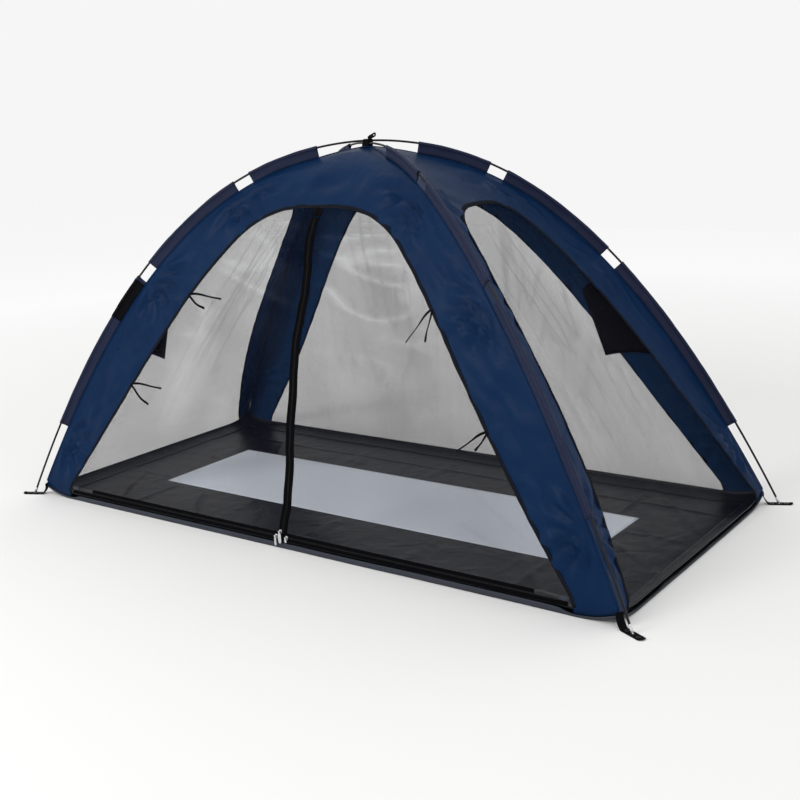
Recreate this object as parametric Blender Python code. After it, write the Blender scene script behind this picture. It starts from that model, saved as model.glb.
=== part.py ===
"""Mosquito net tent: two crossing bent poles outside an inner tent of cloth and net.

Metres, +Z up. The origin is on the ground below the crown, where the poles cross.
X runs along the bed, and the door is in the long side at -Y.
"""

import bmesh
import bpy
from math import acos, ceil, cos, exp, hypot, pi, sin, sqrt
from mathutils import Matrix, Vector

# Floor and poles
FLOOR_LENGTH = 2.0
FLOOR_WIDTH = 0.95
CROWN_HEIGHT = 1.066
PIN_OUTSET = 0.044
PIN_HEIGHT = 0.008
POLE_BOW = 0.043
ARCH_FULLNESS = 2.19
POLE_DIAMETER = 0.006
FERRULE_SPACING = 0.478
FERRULE_LENGTH = 0.060
FERRULE_WALL = 0.0006
FERRULE_CLEARANCE = 0.0003
FERRULES_PER_HALF = 3
CROSSING_REACH = 0.12
STATION_SPACING = 0.064
ROUND_SIDES = 8

# Metal pole tips and the corner tabs that hold them
TIP_CAP_DIAMETER = 0.0074
TIP_CAP_TOP = 0.0215
TIP_SHOULDER_HEIGHT = 0.0047
TIP_PIN_DIAMETER = 0.0040
TIP_PIN_END = 0.0007
TAB_WIDTH = 0.022
TAB_THICKNESS = 0.0016
TAB_FLAT_START = 0.0195
TAB_FLAT_END = 0.075
TAB_TIP_REACH = 0.085
TAB_TIP_RISE = 0.003
TAB_TIP_SHARE = 0.72
TAB_ROOT_HEM_SHARE = 0.4
TAB_ROOT_RUN_SHARE = 0.04
TAB_ROOT_LIFT_SHARE = 0.97
TAB_FALL_SHARES = (0.3, 0.6, 0.85, 1)
EYELET_SPACING = 0.0200
EYELET_DIAMETER = 0.0120
EYELET_HOLE = 0.0070
EYELET_FLANGE = 0.0007
EYELET_SIDES = 12

# Cloth, nets and the gaps that keep sewn layers apart
GAP = 0.0003
SEAM_GAP = 0.0008
EDGE_GAP = 0.0006
CLOTH = 0.0008
NET = 0.0006
TAPE = 0.0012
SILL_STEPS = 8
CLEAR_OF_CREASE = 0.0010

# Floor with its upturned corners and the hem round it
LIGHT_LENGTH = 1.49
LIGHT_WIDTH = 0.39
FLOOR_THICKNESS = 0.001
CORNER_LIFT = 0.023
LIFT_RUN = 0.11
HEM_HEIGHT = 0.022

# Sleeves
SLEEVE_DROP = 0.028
SLEEVE_EASE = 0.0005
SLEEVE_WALL = 0.0008
SLEEVE_TAIL = 0.0020
SLEEVE_FOOT_GAP = 0.0006
SLEEVE_TAPER_SHARE = 2.4
SEAM_FADE = 8
SLEEVE_SHARES = (("upper", 0.125, 0.300), ("middle", 0.340, 0.582), ("lower", 0.615, 0.893))

# Windows: the coloured border narrows from the shoulder to the ground
SIDE_BORDER_LOW = 0.105
SIDE_BORDER_HIGH = 0.198
SIDE_BORDER_RISE = 0.60
SIDE_WINDOW_TOP = 0.905
SIDE_CORNER = 0.105
END_BORDER_LOW = 0.040
END_BORDER_HIGH = 0.113
END_BORDER_RISE = 0.50
END_WINDOW_TOP = 0.896
END_CORNER = 0.085
CORNER_SQUARENESS = 3.5
BINDING_WIDTH = 0.016
BINDING_LIFT = 0.0014
SEWN_ON_LIFT = 0.0015
SEWN_UNDER_LIFT = 0.00115

# How far the taut panels are drawn in from the poles' own curve
SIDE_ARC_RADIUS = 4.0
SIDE_TOP_INSET = 0.004
END_ARC_RADIUS = 6.0
END_TOP_INSET = 0.030
CROWN_OPENING = 0.012

# Door: two net leaves, an upright zip and a zip along the sill
SILL_ZIP_HALF = 0.858
SILL_END_LENGTH = 0.014
SILL_TAPE_HEIGHT = 0.0112
DOOR_TAPE_WIDTH = 0.0120
CREASE_REACH = 0.80
CREASE_TOP = 0.897
LEAF_TOP = 0.876
LEAF_INSET = 0.018
ZIP_HEAD_FOOT = 0.8785

# Zip sliders and their pulls
SLIDER_WIDTH = 0.0080
SLIDER_LENGTH = 0.0100
SLIDER_BODY = 0.0036
SLIDER_BEVEL = 0.0010
DOOR_SLIDER_HEIGHT = 0.0475
DOOR_SLIDER_OFFSET = 0.0058
SILL_SLIDER_LEFT = 0.0200
SILL_SLIDER_RIGHT = 0.0170
EAR_THICKNESS = 0.0009
EAR_REACH = 0.0058
PIN_DIAMETER = 0.0016
KNUCKLE_BORE = 0.0024
KNUCKLE_DIAMETER = 0.0040
KNUCKLE_SIDES = 12
KNUCKLE_OVERLAP_SHARE = 0.3
PULL_THICKNESS = 0.0012
DOOR_PULL = (0.0110, 0.0330)
LEFT_PULL = (0.0070, 0.0270)
RIGHT_PULL = (0.0080, 0.0130)

# Door ties: where they are sewn on, and where their two ribbons end
TIE_WIDTH = 0.0065
TIE_THICKNESS = 0.0008
TIE_LIFT = 0.0040
TIE_SAG = 0.006
TIE_STEPS = 5
TIES = ((-1, 0.656, (0.301, 0.647), (0.361, 0.618)), (-1, 0.386, (0.503, 0.383), (0.547, 0.331)),
        (1, 0.665, (0.357, 0.577), (0.415, 0.583)), (1, 0.392, (0.542, 0.333), (0.595, 0.342)))

# Corner pockets inside, on the borders of the long sides
POCKET_SIDE = 0.487
POCKET_BOTTOM = 0.455
POCKET_SHOULDER = 0.611
POCKET_TOP = 0.690
POCKET_SEAM_GAP = 0.010
POCKET_DEPTH = 0.028
POCKET_ROWS = 6
POCKET_COLUMNS = 4
POCKET_FULLEST_SHARE = 0.35
POCKET_LIFT = 0.0024
POCKET_SLOPE_SHARE = 1.4
POCKET_NET_CLEARANCE = 0.020

# Crown patch and the strap over the poles
PATCH_DIAMETER = 0.052
PATCH_SIDES = 16
STRAP_WIDTH = 0.020
STRAP_THICKNESS = 0.0014
STRAP_HALF_SPAN = 0.0140
STRAP_TAIL_LENGTH = 0.028
STRAP_TAIL_RISE = 0.016
STRAP_HOLE = 0.0036
TAIL_SHARES = (0, 0.35, 0.7, 1)
TAIL_HOLE_SHARE = 0.8

# Lattice of the wall surfaces
ROWS = 13
COLUMNS = 12
WALL_FOOT = 0.012
OUTLINE_STEPS = 12
CUTTER_REACH = 1.4
CUTTER_FOOT = -0.1
CUTTER_NEAR = 0.03
TINY = 0.0001
NORMAL_STEP = 0.004
PAST_SEAM_SHARE = 1.2
TIP_SEARCH_SHARES = (0.5, 1.1)
MARGIN_SHARES = (0, 0.12, 0.25, 0.4, 1)

HALF_LENGTH = FLOOR_LENGTH / 2
HALF_WIDTH = FLOOR_WIDTH / 2
HALF_DIAGONAL = hypot(HALF_LENGTH, HALF_WIDTH)
ALONG = Vector((HALF_LENGTH, HALF_WIDTH)) / HALF_DIAGONAL
HALF_SPAN = HALF_DIAGONAL + PIN_OUTSET
POLE_RADIUS = POLE_DIAMETER / 2
FERRULE_INNER = POLE_RADIUS + FERRULE_CLEARANCE
FERRULE_OUTER = FERRULE_INNER + FERRULE_WALL
HEM_TOP = HEM_HEIGHT + EDGE_GAP
SILL_TOP = HEM_TOP + 2 * SILL_TAPE_HEIGHT + 3 * EDGE_GAP
CORNERS = (("front_left", -1, -1), ("front_right", 1, -1), ("back_right", 1, 1), ("back_left", -1, 1))


def clear_scene():
    for obj in list(bpy.data.objects):
        bpy.data.objects.remove(obj, do_unlink=True)


def make_material(name, colour, roughness, metallic=0.0):
    material = bpy.data.materials.new(name)
    material.use_nodes = True
    shader = material.node_tree.nodes["Principled BSDF"]
    shader.inputs["Base Color"].default_value = (*colour, 1)
    shader.inputs["Roughness"].default_value = roughness
    shader.inputs["Metallic"].default_value = metallic
    return material


# Mesh helpers

def link_mesh(name, vertices, faces, material, origin=(0, 0, 0), smooth=False):
    """A mesh object whose vertices are given in world places and whose origin is set apart."""
    origin = Vector(origin)
    mesh = bpy.data.meshes.new(name)
    mesh.from_pydata([Vector(v) - origin for v in vertices], [], faces)
    mesh.validate()
    if smooth:
        mesh.shade_smooth()
        mesh.set_sharp_from_angle(angle=pi / 4)
    obj = bpy.data.objects.new(name, mesh)
    obj.location = origin
    bpy.context.scene.collection.objects.link(obj)
    if material:
        obj.data.materials.append(material)
    return obj


def grid_faces(rows, columns, start=0):
    faces = []
    for i in range(rows - 1):
        for j in range(columns - 1):
            a = start + i * columns + j
            b, c, d = a + 1, a + columns + 1, a + columns
            faces += [(a, b, c), (a, c, d)]
    return faces


def thicken(obj, thickness):
    modifier = obj.modifiers.new("thickness", "SOLIDIFY")
    modifier.thickness = thickness
    modifier.offset = 0


def sheet(name, rows, thickness, material, origin=(0, 0, 0)):
    """A sheet of cloth through rows of points, as a closed solid of even thickness."""
    vertices = [point for row in rows for point in row]
    obj = link_mesh(name, vertices, grid_faces(len(rows), len(rows[0])), material, origin)
    thicken(obj, thickness)
    return obj


def loft(rings, start=0):
    """Closed faces round a list of rings with the same number of points, with end caps."""
    count = len(rings[0])
    faces = [tuple(start + i for i in reversed(range(count)))]
    for k in range(len(rings) - 1):
        for i in range(count):
            a = start + k * count + i
            b = start + k * count + (i + 1) % count
            faces.append((a, b, b + count, a + count))
    last = start + (len(rings) - 1) * count
    faces.append(tuple(last + i for i in range(count)))
    return faces


def tube_faces(stations, outer, inner, start):
    """Faces of an open tube: outer loops, inner loops and the two end rims."""
    faces = []
    block = outer + inner
    for k in range(stations - 1):
        for i in range(outer):
            a = start + k * block + i
            b = start + k * block + (i + 1) % outer
            faces.append((a, b, b + block, a + block))
        for i in range(inner):
            a = start + k * block + outer + i
            b = start + k * block + outer + (i + 1) % inner
            faces.append((b, a, a + block, b + block))
    return faces


def prism(name, polygon, plane, near, far):
    """A hidden cutter: a polygon of (across, height) points run out along the wall's axis."""
    points = [plane(across, height, depth) for depth in (near, far) for across, height in polygon]
    count = len(polygon)
    faces = [tuple(range(count)), tuple(reversed(range(count, 2 * count)))]
    for i in range(count):
        j = (i + 1) % count
        faces.append((i, i + count, j + count, j))
    obj = link_mesh(name, points, faces, None)
    obj.data.update()
    orient_outwards(obj.data)
    hide(obj)
    return obj


def orient_outwards(mesh):
    bm = bmesh.new()
    bm.from_mesh(mesh)
    bmesh.ops.recalc_face_normals(bm, faces=bm.faces)
    bm.to_mesh(mesh)
    bm.free()


def hide(obj):
    obj.hide_render = True
    obj.display_type = "WIRE"


def boolean(obj, operation, cutter):
    modifier = obj.modifiers.new(operation.lower(), "BOOLEAN")
    modifier.operation = operation
    modifier.solver = "EXACT"
    modifier.object = cutter


# Curves of the frame

def arch(q):
    """Place of the pole's centre line in the plane of its diagonal, at a share q of its half."""
    rise = CROWN_HEIGHT - PIN_HEIGHT
    return HALF_SPAN * q, PIN_HEIGHT + rise * (1 - abs(q) ** ARCH_FULLNESS)


def arch_slope(q):
    rise = CROWN_HEIGHT - PIN_HEIGHT
    slope = Vector((HALF_SPAN, -rise * ARCH_FULLNESS * q ** (ARCH_FULLNESS - 1)))
    return slope.normalized()


def find_root(function, low, high):
    """Bisection for a function that is above zero at low and below it at high."""
    for _ in range(60):
        middle = (low + high) / 2
        if function(middle) > 0:
            low = middle
        else:
            high = middle
    return (low + high) / 2


CORNER_POINT = Vector((HALF_DIAGONAL, CORNER_LIFT + HEM_TOP))


def past_corner(q):
    return (CORNER_POINT - Vector(arch(q))).dot(arch_slope(q))


SEAM_END = find_root(past_corner, 0.8, 1.0)
END_DROP = (CORNER_POINT - Vector(arch(SEAM_END))).length


def seam(q):
    """Half length, half width and height of the canopy's seam below the pole at share q."""
    s, z = arch(q)
    slope = arch_slope(q)
    drop = SLEEVE_DROP + (END_DROP - SLEEVE_DROP) * (q / SEAM_END) ** SEAM_FADE
    s += drop * slope.y
    z -= drop * slope.x
    bow = POLE_BOW * sin(pi * q / SEAM_END)
    return ALONG.x * s - ALONG.y * bow, ALONG.y * s + ALONG.x * bow, z


def seam_share(height):
    return find_root(lambda q: seam(q)[2] - height, 0.0, 1.0)


APEX = seam(0)[2]


def pole_point(q, hand):
    """Centre line of a pole for q from -1 to 1. Hand 1 is the upper pole, -1 the lower one."""
    s, z = arch(q)
    bow = POLE_BOW * sin(pi * q)
    apart = (POLE_RADIUS + GAP) * exp(-(s / CROSSING_REACH) ** 2)
    x = ALONG.x * s - ALONG.y * bow
    y = ALONG.y * s + ALONG.x * bow
    return Vector((x, hand * y, z + hand * apart))


def seam_point(q, hand):
    x, y, z = seam(abs(q))
    side = 1 if q >= 0 else -1
    return Vector((side * x, hand * side * y, z))


def pole_frame(q, hand):
    """Point, tangent, sideways and outward directions at a share of the pole."""
    point = pole_point(q, hand)
    ahead = pole_point(q + TINY, hand)
    behind = pole_point(q - TINY, hand)
    tangent = (ahead - behind).normalized()
    outward = point - seam_point(q, hand)
    outward = (outward - tangent * outward.dot(tangent)).normalized()
    return point, tangent, tangent.cross(outward), outward


def arc_table(steps=2000):
    table = [0.0]
    for i in range(steps):
        a = pole_point(i / steps, 1)
        b = pole_point((i + 1) / steps, 1)
        table.append(table[-1] + (b - a).length)
    return table


ARC = arc_table()


def share_at_arc(length):
    """Share of the half pole at a distance along it from the crown."""
    steps = len(ARC) - 1
    for i in range(steps):
        if ARC[i + 1] >= length:
            return (i + (length - ARC[i]) / (ARC[i + 1] - ARC[i])) / steps
    return 1.0


def arc_at_share(q):
    steps = len(ARC) - 1
    return ARC[min(int(q * steps + 0.5), steps)]


def tip_share(height):
    return find_root(lambda q: arch(q)[1] - height, *TIP_SEARCH_SHARES)


def station_shares():
    """Shares of the half pole that every tube on it is built through."""
    keys = {0.0, tip_share(TIP_CAP_TOP)}
    for _, low, high in SLEEVE_SHARES:
        keys.update((low, high))
    for k in range(FERRULES_PER_HALF):
        middle = FERRULE_SPACING * (k + 0.5)
        for shift in (-FERRULE_LENGTH / 2, 0, FERRULE_LENGTH / 2):
            keys.add(share_at_arc(middle + shift))
    keys = sorted(keys)
    shares = []
    for a, b in zip(keys, keys[1:]):
        steps = max(1, ceil((arc_at_share(b) - arc_at_share(a)) / STATION_SPACING))
        shares += [a + (b - a) * i / steps for i in range(steps)]
    return shares + [keys[-1]]


STATIONS = station_shares()


def stations_between(low, high):
    """Signed shares from low to high, with every station of the pole that lies between."""
    signed = [-q for q in reversed(STATIONS)] + STATIONS[1:]
    inside = [q for q in signed if low + TINY < q < high - TINY]
    return [low] + inside + [high]


def ring_at(frame, radius, sides=ROUND_SIDES):
    point, _, sideways, outward = frame
    ring = []
    for i in range(sides):
        angle = 2 * pi * (i + 0.5) / sides
        ring.append(point + sideways * (radius * cos(angle)) + outward * (radius * sin(angle)))
    return ring


# Poles

def ferrule_centres():
    middles = [FERRULE_SPACING * (k + 0.5) for k in range(FERRULES_PER_HALF)]
    return [-m for m in reversed(middles)] + middles


def signed_share(arc):
    return share_at_arc(arc) if arc >= 0 else -share_at_arc(-arc)


def turned_along_pole(name, hand, profile, material):
    """A turned solid whose axis is the pole: a list of shares of the pole with radii."""
    rings = [ring_at(pole_frame(q, hand), radius) for q, radius in profile]
    obj = link_mesh(name, [p for ring in rings for p in ring], loft(rings), material, smooth=True)
    orient_outwards(obj.data)
    return obj


def tip_profile():
    """Metal tip on the rod's end: a cap with a shoulder, and a pin down through the eyelet."""
    top, shoulder, end = (tip_share(z) for z in (TIP_CAP_TOP, TIP_SHOULDER_HEIGHT, TIP_PIN_END))
    cap, pin = TIP_CAP_DIAMETER / 2, TIP_PIN_DIAMETER / 2
    return [(top, cap), (shoulder, cap), (shoulder, pin), (end, pin)]


def ferrule_profile(centre):
    """Ferrule bonded to one rod's end, with the bore that the next rod enters."""
    low = signed_share(centre - FERRULE_LENGTH / 2)
    high = signed_share(centre + FERRULE_LENGTH / 2)
    outside = [(q, FERRULE_OUTER) for q in stations_between(low, high)]
    return outside + [(high, FERRULE_INNER), (signed_share(centre - GAP / 2), FERRULE_INNER)]


def pole_sections(letter, hand, material):
    """Seven rods in a row, joined by ferrules, with a tip at either end."""
    cuts = ferrule_centres()
    end = tip_share(TIP_CAP_TOP)
    for k in range(len(cuts) + 1):
        start = signed_share(cuts[k - 1] + GAP / 2) if k else -end
        last = k == len(cuts)
        stop = end if last else signed_share(cuts[k] - FERRULE_LENGTH / 2)
        profile = [(q, POLE_RADIUS) for q in stations_between(start, stop)]
        if k == 0:
            profile = [(-q, radius) for q, radius in reversed(tip_profile())] + profile
        profile += tip_profile() if last else ferrule_profile(cuts[k])
        turned_along_pole("pole_" + letter + "_section_" + str(k + 1), hand, profile, material)


# Sleeves

def sleeve_section(frame, drop):
    """Outer and inner outlines of the sleeve across the pole, with its sewn tail down to the seam."""
    point, _, sideways, outward = frame
    inner = FERRULE_OUTER + SLEEVE_EASE
    outer = inner + SLEEVE_WALL
    angles = [2 * pi * (i - 0.5) / ROUND_SIDES for i in range(ROUND_SIDES // 2 + 2)]
    tail = SLEEVE_TAIL / 2
    tail_top = -inner * SLEEVE_TAPER_SHARE
    foot = SLEEVE_FOOT_GAP - drop
    outline = [(outer * cos(a), outer * sin(a)) for a in angles]
    outline += [(-tail, tail_top), (-tail, foot), (tail, foot), (tail, tail_top)]
    bore = [(inner * cos(a), inner * sin(a)) for a in angles]
    bore += [(0, tail_top + SLEEVE_WALL * 2)]
    return [[point + sideways * x + outward * y for x, y in loop] for loop in (outline, bore)]


def sleeve(name, low, high, hand, material):
    vertices, faces = [], []
    shares = stations_between(low, high)
    for q in shares:
        frame = pole_frame(q, hand)
        drop = (frame[0] - seam_point(q, hand)).length
        outline, bore = sleeve_section(frame, drop)
        vertices += outline + bore
    outer, inner = len(outline), len(bore)
    faces += tube_faces(len(shares), outer, inner, 0)
    faces += sleeve_end(0, outer, inner, True)
    faces += sleeve_end((len(shares) - 1) * (outer + inner), outer, inner, False)
    obj = link_mesh(name, vertices, faces, material, smooth=True)
    orient_outwards(obj.data)
    return obj


def sleeve_end(start, outer, inner, flip):
    """End face between the outline and the bore: a band round the pole, and the tail below it."""
    shared = inner - 1
    left, low_left, low_right, right = (start + shared + k for k in range(4))
    bore = start + outer
    faces = []
    for i in range(shared - 1):
        faces.append((start + i, start + i + 1, bore + i + 1, bore + i))
    faces.append((start + shared - 1, left, bore + shared, bore + shared - 1))
    faces.append((right, start, bore, bore + shared))
    faces.append((left, low_left, low_right, right, bore + shared))
    return [tuple(reversed(f)) for f in faces] if flip else faces


# Walls of the canopy

class Wall:
    """One of the four walls: a curved panel between two seams, slack towards its middle."""

    def __init__(self, name, out, arc_radius, foot, top, inset):
        self.name = name
        self.out = Vector(out)
        self.long = bool(out[1])
        self.top = top
        self.inset = inset
        self.high = self.reach(top) - inset
        self.low, self.foot = (HALF_WIDTH if self.long else HALF_LENGTH), foot
        run = Vector((self.high - self.low, top - foot))
        middle = Vector((self.high + self.low, top + foot)) / 2
        outwards = Vector((run.y, -run.x)).normalized()
        self.arc_centre = middle - outwards * sqrt(arc_radius ** 2 - run.length ** 2 / 4)
        self.arc_radius = arc_radius

    def seam(self, height):
        x, y, _ = seam(min(seam_share(height), SEAM_END))
        return (x, y) if self.long else (y, x)

    def reach(self, height):
        return self.seam(height)[1]

    def centre(self, height):
        """How far out the wall's upright centre line is at a height."""
        if height <= self.top:
            rise = height - self.arc_centre.y
            return self.arc_centre.x + sqrt(self.arc_radius ** 2 - rise ** 2)
        left = (APEX - height) / (APEX - self.top)
        return self.reach(height) - self.inset * max(left, 0) ** 0.75

    def plane(self, across, height, depth):
        if self.long:
            return Vector((across, self.out.y * depth, height))
        return Vector((self.out.x * depth, across, height))

    def point(self, height, across, lift=0.0):
        half, reach = self.seam(height)
        share = min(abs(across) / half, PAST_SEAM_SHARE)
        depth = reach + (self.centre(height) - reach) * (1 - share ** 2)
        place = self.plane(across, height, depth)
        return place + self.normal(height, across) * lift if lift else place

    def normal(self, height, across):
        step = NORMAL_STEP
        up = self.point(height + step, across) - self.point(height - step, across)
        along = self.point(height, across + step) - self.point(height, across - step)
        normal = up.cross(along).normalized()
        return normal if normal.dot(self.out) + normal.z > 0 else -normal

    def on_centre(self, height, across):
        """Place on the wall's middle profile run straight out to either side."""
        return self.plane(across, height, self.centre(height))

    def row_heights(self):
        first = CROWN_OPENING / HALF_SPAN
        heights = []
        for i in range(ROWS):
            heights.append(seam(first + (SEAM_END - first) * i / (ROWS - 1))[2])
        return sorted(heights + [self.top, HEM_TOP, WALL_FOOT], reverse=True)

    def lattice(self, lift=0.0, inset=0.0):
        rows = []
        for height in self.row_heights():
            half = self.seam(height)[0] - inset
            places = [2 * i / COLUMNS - 1 for i in range(COLUMNS + 1)]
            rows.append([self.point(height, half * share, lift) for share in places])
        return rows

    def border(self, height):
        if self.long:
            low, high, rise = SIDE_BORDER_LOW, SIDE_BORDER_HIGH, SIDE_BORDER_RISE
        else:
            low, high, rise = END_BORDER_LOW, END_BORDER_HIGH, END_BORDER_RISE
        share = min(max(height / rise, 0), 1)
        return low + (high - low) * share * (2 - share)

    def window_half(self, height, grow=0.0):
        """Half width of the window at a height, grown all round by a margin."""
        corner = SIDE_CORNER if self.long else END_CORNER
        top = self.top + grow
        start = self.top - corner
        side = max(self.seam(height)[0] - self.border(height) + grow, 0)
        if height <= start:
            return side
        share = min((height - start) / (top - start), 1)
        return side * (1 - share ** CORNER_SQUARENESS) ** (1 / CORNER_SQUARENESS)

    def window_heights(self, grow=0.0, foot=CUTTER_FOOT):
        """Heights of the outline's points, closer together round the upper corners."""
        corner = SIDE_CORNER if self.long else END_CORNER
        start = self.top - corner
        top = self.top + grow
        low = SILL_TOP
        heights = [foot, 0.0] if foot < 0 else []
        heights += [low + (start - low) * i / OUTLINE_STEPS for i in range(OUTLINE_STEPS)]
        for i in range(OUTLINE_STEPS // 2 + 1):
            heights.append(start + (top - start) * sin(pi / 2 * i / (OUTLINE_STEPS // 2)))
        return heights

    def window_outline(self, grow=0.0):
        heights = self.window_heights(grow)
        right = [(self.window_half(h, grow), h) for h in heights[:-1]]
        left = [(-across, h) for across, h in reversed(right)]
        return right + [(0, heights[-1])] + left

    def foot_outline(self, gap):
        """Everything below the hem's top edge, which rises into the corners."""
        half = HALF_LENGTH if self.long else HALF_WIDTH
        top = [(across, HEM_HEIGHT + gap + lift) for across, lift in hem_stations(half)]
        return [(-CUTTER_REACH, CUTTER_FOOT), (CUTTER_REACH, CUTTER_FOOT), (CUTTER_REACH, top[-1][1])] \
            + top[::-1] + [(-CUTTER_REACH, top[0][1])]

    def cutter(self, name, polygon, near=CUTTER_NEAR):
        return prism("cut_" + self.name + "_" + name, polygon, self.plane, near, CUTTER_REACH)


def corner_lift(distance):
    return CORNER_LIFT * max(0, 1 - distance / LIFT_RUN) ** 2


def hem_stations(half):
    """Places along an edge of the floor with the lift there, from one corner to the other."""
    runs = [LIFT_RUN * share / 4 for share in range(5)]
    left = [(-(half - run), corner_lift(run)) for run in runs]
    return left + [(-across, lift) for across, lift in reversed(left)]


def wall_panel(wall, material, inset):
    obj = sheet(wall.name + "_panel", wall.lattice(inset=inset), CLOTH, material)
    boolean(obj, "DIFFERENCE", wall.cutter("panel_window", wall.window_outline(EDGE_GAP)))
    boolean(obj, "DIFFERENCE", wall.foot_cutter)
    return obj


def wall_net(wall, material):
    obj = sheet(wall.name + "_net", wall.lattice(), NET, material)
    boolean(obj, "INTERSECT", wall.cutter("net_window", wall.window_outline(-EDGE_GAP)))
    boolean(obj, "DIFFERENCE", wall.foot_cutter)
    return obj


def wall_binding(wall, material):
    """The tape sewn round the window, over the edge of panel and net."""
    obj = sheet(wall.name + "_window_binding", wall.lattice(BINDING_LIFT), CLOTH, material)
    half = BINDING_WIDTH / 2
    boolean(obj, "INTERSECT", wall.cutter("binding_outer", wall.window_outline(half)))
    boolean(obj, "DIFFERENCE", wall.cutter("binding_inner", wall.window_outline(-half)))
    boolean(obj, "DIFFERENCE", wall.foot_cutter)
    return obj


# Floor and hem

def round_floor(length, width):
    """Places round a rectangle, anticlockwise from its front left corner, with the lift at each."""
    sides = (((1, 0), length, width), ((0, 1), width, length),
             ((-1, 0), length, width), ((0, -1), width, length))
    places = []
    for (dx, dy), long_side, short_side in sides:
        for across, lift in hem_stations(long_side / 2)[:-1]:
            x = dx * across + dy * short_side / 2
            y = dy * across - dx * short_side / 2
            places.append((x, y, lift))
    return places


def ring_faces(rows, columns):
    """Triangles of a band that closes on itself."""
    faces = []
    for i in range(rows - 1):
        for j in range(columns):
            a = i * columns + j
            b = i * columns + (j + 1) % columns
            faces += [(a, b, b + columns), (a, b + columns, a + columns)]
    return faces


def floor_margin(material):
    """The dark margin of the floor, whose corners are turned up into the tabs."""
    edge = TAPE / 2 + GAP
    vertices = []
    places = round_floor(FLOOR_LENGTH - 2 * edge, FLOOR_WIDTH - 2 * edge)
    for share in MARGIN_SHARES:
        for x, y, _ in places:
            inner_x = x * (LIGHT_LENGTH / 2 + GAP) / (HALF_LENGTH - edge)
            inner_y = y * (LIGHT_WIDTH / 2 + GAP) / (HALF_WIDTH - edge)
            px, py = x + (inner_x - x) * share, y + (inner_y - y) * share
            rise = corner_lift(hypot(HALF_LENGTH - abs(px), HALF_WIDTH - abs(py)))
            vertices.append((px, py, FLOOR_THICKNESS / 2 + rise))
    obj = link_mesh("floor_margin", vertices, ring_faces(len(MARGIN_SHARES), len(places)), material)
    thicken(obj, FLOOR_THICKNESS)
    return obj


def light_panel(material):
    x, y = LIGHT_LENGTH / 2 - GAP, LIGHT_WIDTH / 2 - GAP
    z = FLOOR_THICKNESS / 2
    rows = [[(-x, -y, z), (x, -y, z)], [(-x, y, z), (x, y, z)]]
    return sheet("floor_light_panel", rows, FLOOR_THICKNESS, material)


def floor_hem(material):
    """The upright band round the floor's edge, sewn between the floor and the walls."""
    places = round_floor(FLOOR_LENGTH, FLOOR_WIDTH)
    vertices = [(x, y, lift + rise) for rise in (0, HEM_HEIGHT) for x, y, lift in places]
    obj = link_mesh("floor_hem", vertices, ring_faces(2, len(places)), material)
    thicken(obj, TAPE)
    return obj


# Corner tabs

def tab_path():
    """Distance along the diagonal and height of the tab's middle, from the corner to its tip."""
    start = HALF_DIAGONAL + TAPE + TAB_THICKNESS / 2
    flat = TAB_THICKNESS / 2
    drop = CORNER_LIFT - flat
    run = HALF_DIAGONAL + TAB_FLAT_START - start
    path = [(start, CORNER_LIFT + HEM_HEIGHT * TAB_ROOT_HEM_SHARE),
            (start + run * TAB_ROOT_RUN_SHARE, CORNER_LIFT * TAB_ROOT_LIFT_SHARE)]
    for share in TAB_FALL_SHARES:
        path.append((start + run * share, flat + drop * (1 - share) ** 1.5))
    path.append((HALF_DIAGONAL + (TAB_FLAT_START + TAB_FLAT_END) / 2, flat))
    path.append((HALF_DIAGONAL + TAB_FLAT_END, flat))
    path.append((HALF_DIAGONAL + TAB_TIP_REACH, flat + TAB_TIP_RISE))
    return path


def eyelet_places():
    """Distances along the diagonal of the three eyelets. The pole's pin is in the middle one."""
    rise = (PIN_HEIGHT - TAB_THICKNESS) / -arch_slope(1).y * arch_slope(1).x
    middle = HALF_SPAN + rise
    return [middle - EYELET_SPACING, middle, middle + EYELET_SPACING]


def corner_frame(sx, sy):
    along = Vector((sx * ALONG.x, sy * ALONG.y, 0))
    return along, Vector((-along.y, along.x, 0))


def corner_tab(name, sx, sy, material):
    """Folded webbing from the floor's corner, with three eyelets crimped into it."""
    along, across = corner_frame(sx, sy)
    path = tab_path()
    half = TAB_WIDTH / 2
    rows = []
    for k, (s, z) in enumerate(path):
        width = half * (TAB_TIP_SHARE if k == len(path) - 1 else 1)
        middle = along * s + Vector((0, 0, z))
        rows.append([middle - across * width, middle, middle + across * width])
    obj = sheet(name, rows, TAB_THICKNESS, material)
    for k, s in enumerate(eyelet_places()):
        middle = Vector((0, 0, TAB_THICKNESS / 2))
        rim = round_tool(name + "_rim_" + str(k), along * s + middle, EYELET_DIAMETER / 2,
                         TAB_THICKNESS / 2 + EYELET_FLANGE)
        boolean(obj, "UNION", rim)
    for k, s in enumerate(eyelet_places()):
        below = Vector((0, 0, -TAB_THICKNESS))
        hole = round_tool(name + "_hole_" + str(k), along * s + below, EYELET_HOLE / 2, TAB_THICKNESS * 4)
        boolean(obj, "DIFFERENCE", hole)
    return obj


def round_tool(name, centre, radius, height):
    """A hidden upright cylinder that stands on a point."""
    rings = []
    for z in (0, height):
        ring = []
        for i in range(EYELET_SIDES):
            angle = 2 * pi * i / EYELET_SIDES
            ring.append(centre + Vector((radius * cos(angle), radius * sin(angle), z)))
        rings.append(ring)
    obj = link_mesh(name, [p for ring in rings for p in ring], loft(rings), None)
    orient_outwards(obj.data)
    hide(obj)
    return obj


# Door

def crease_foot(side):
    return Vector((side * CREASE_REACH, -HALF_WIDTH, HEM_TOP + SILL_TAPE_HEIGHT))


def crease_top(wall):
    return wall.point(CREASE_TOP, 0)


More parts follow.
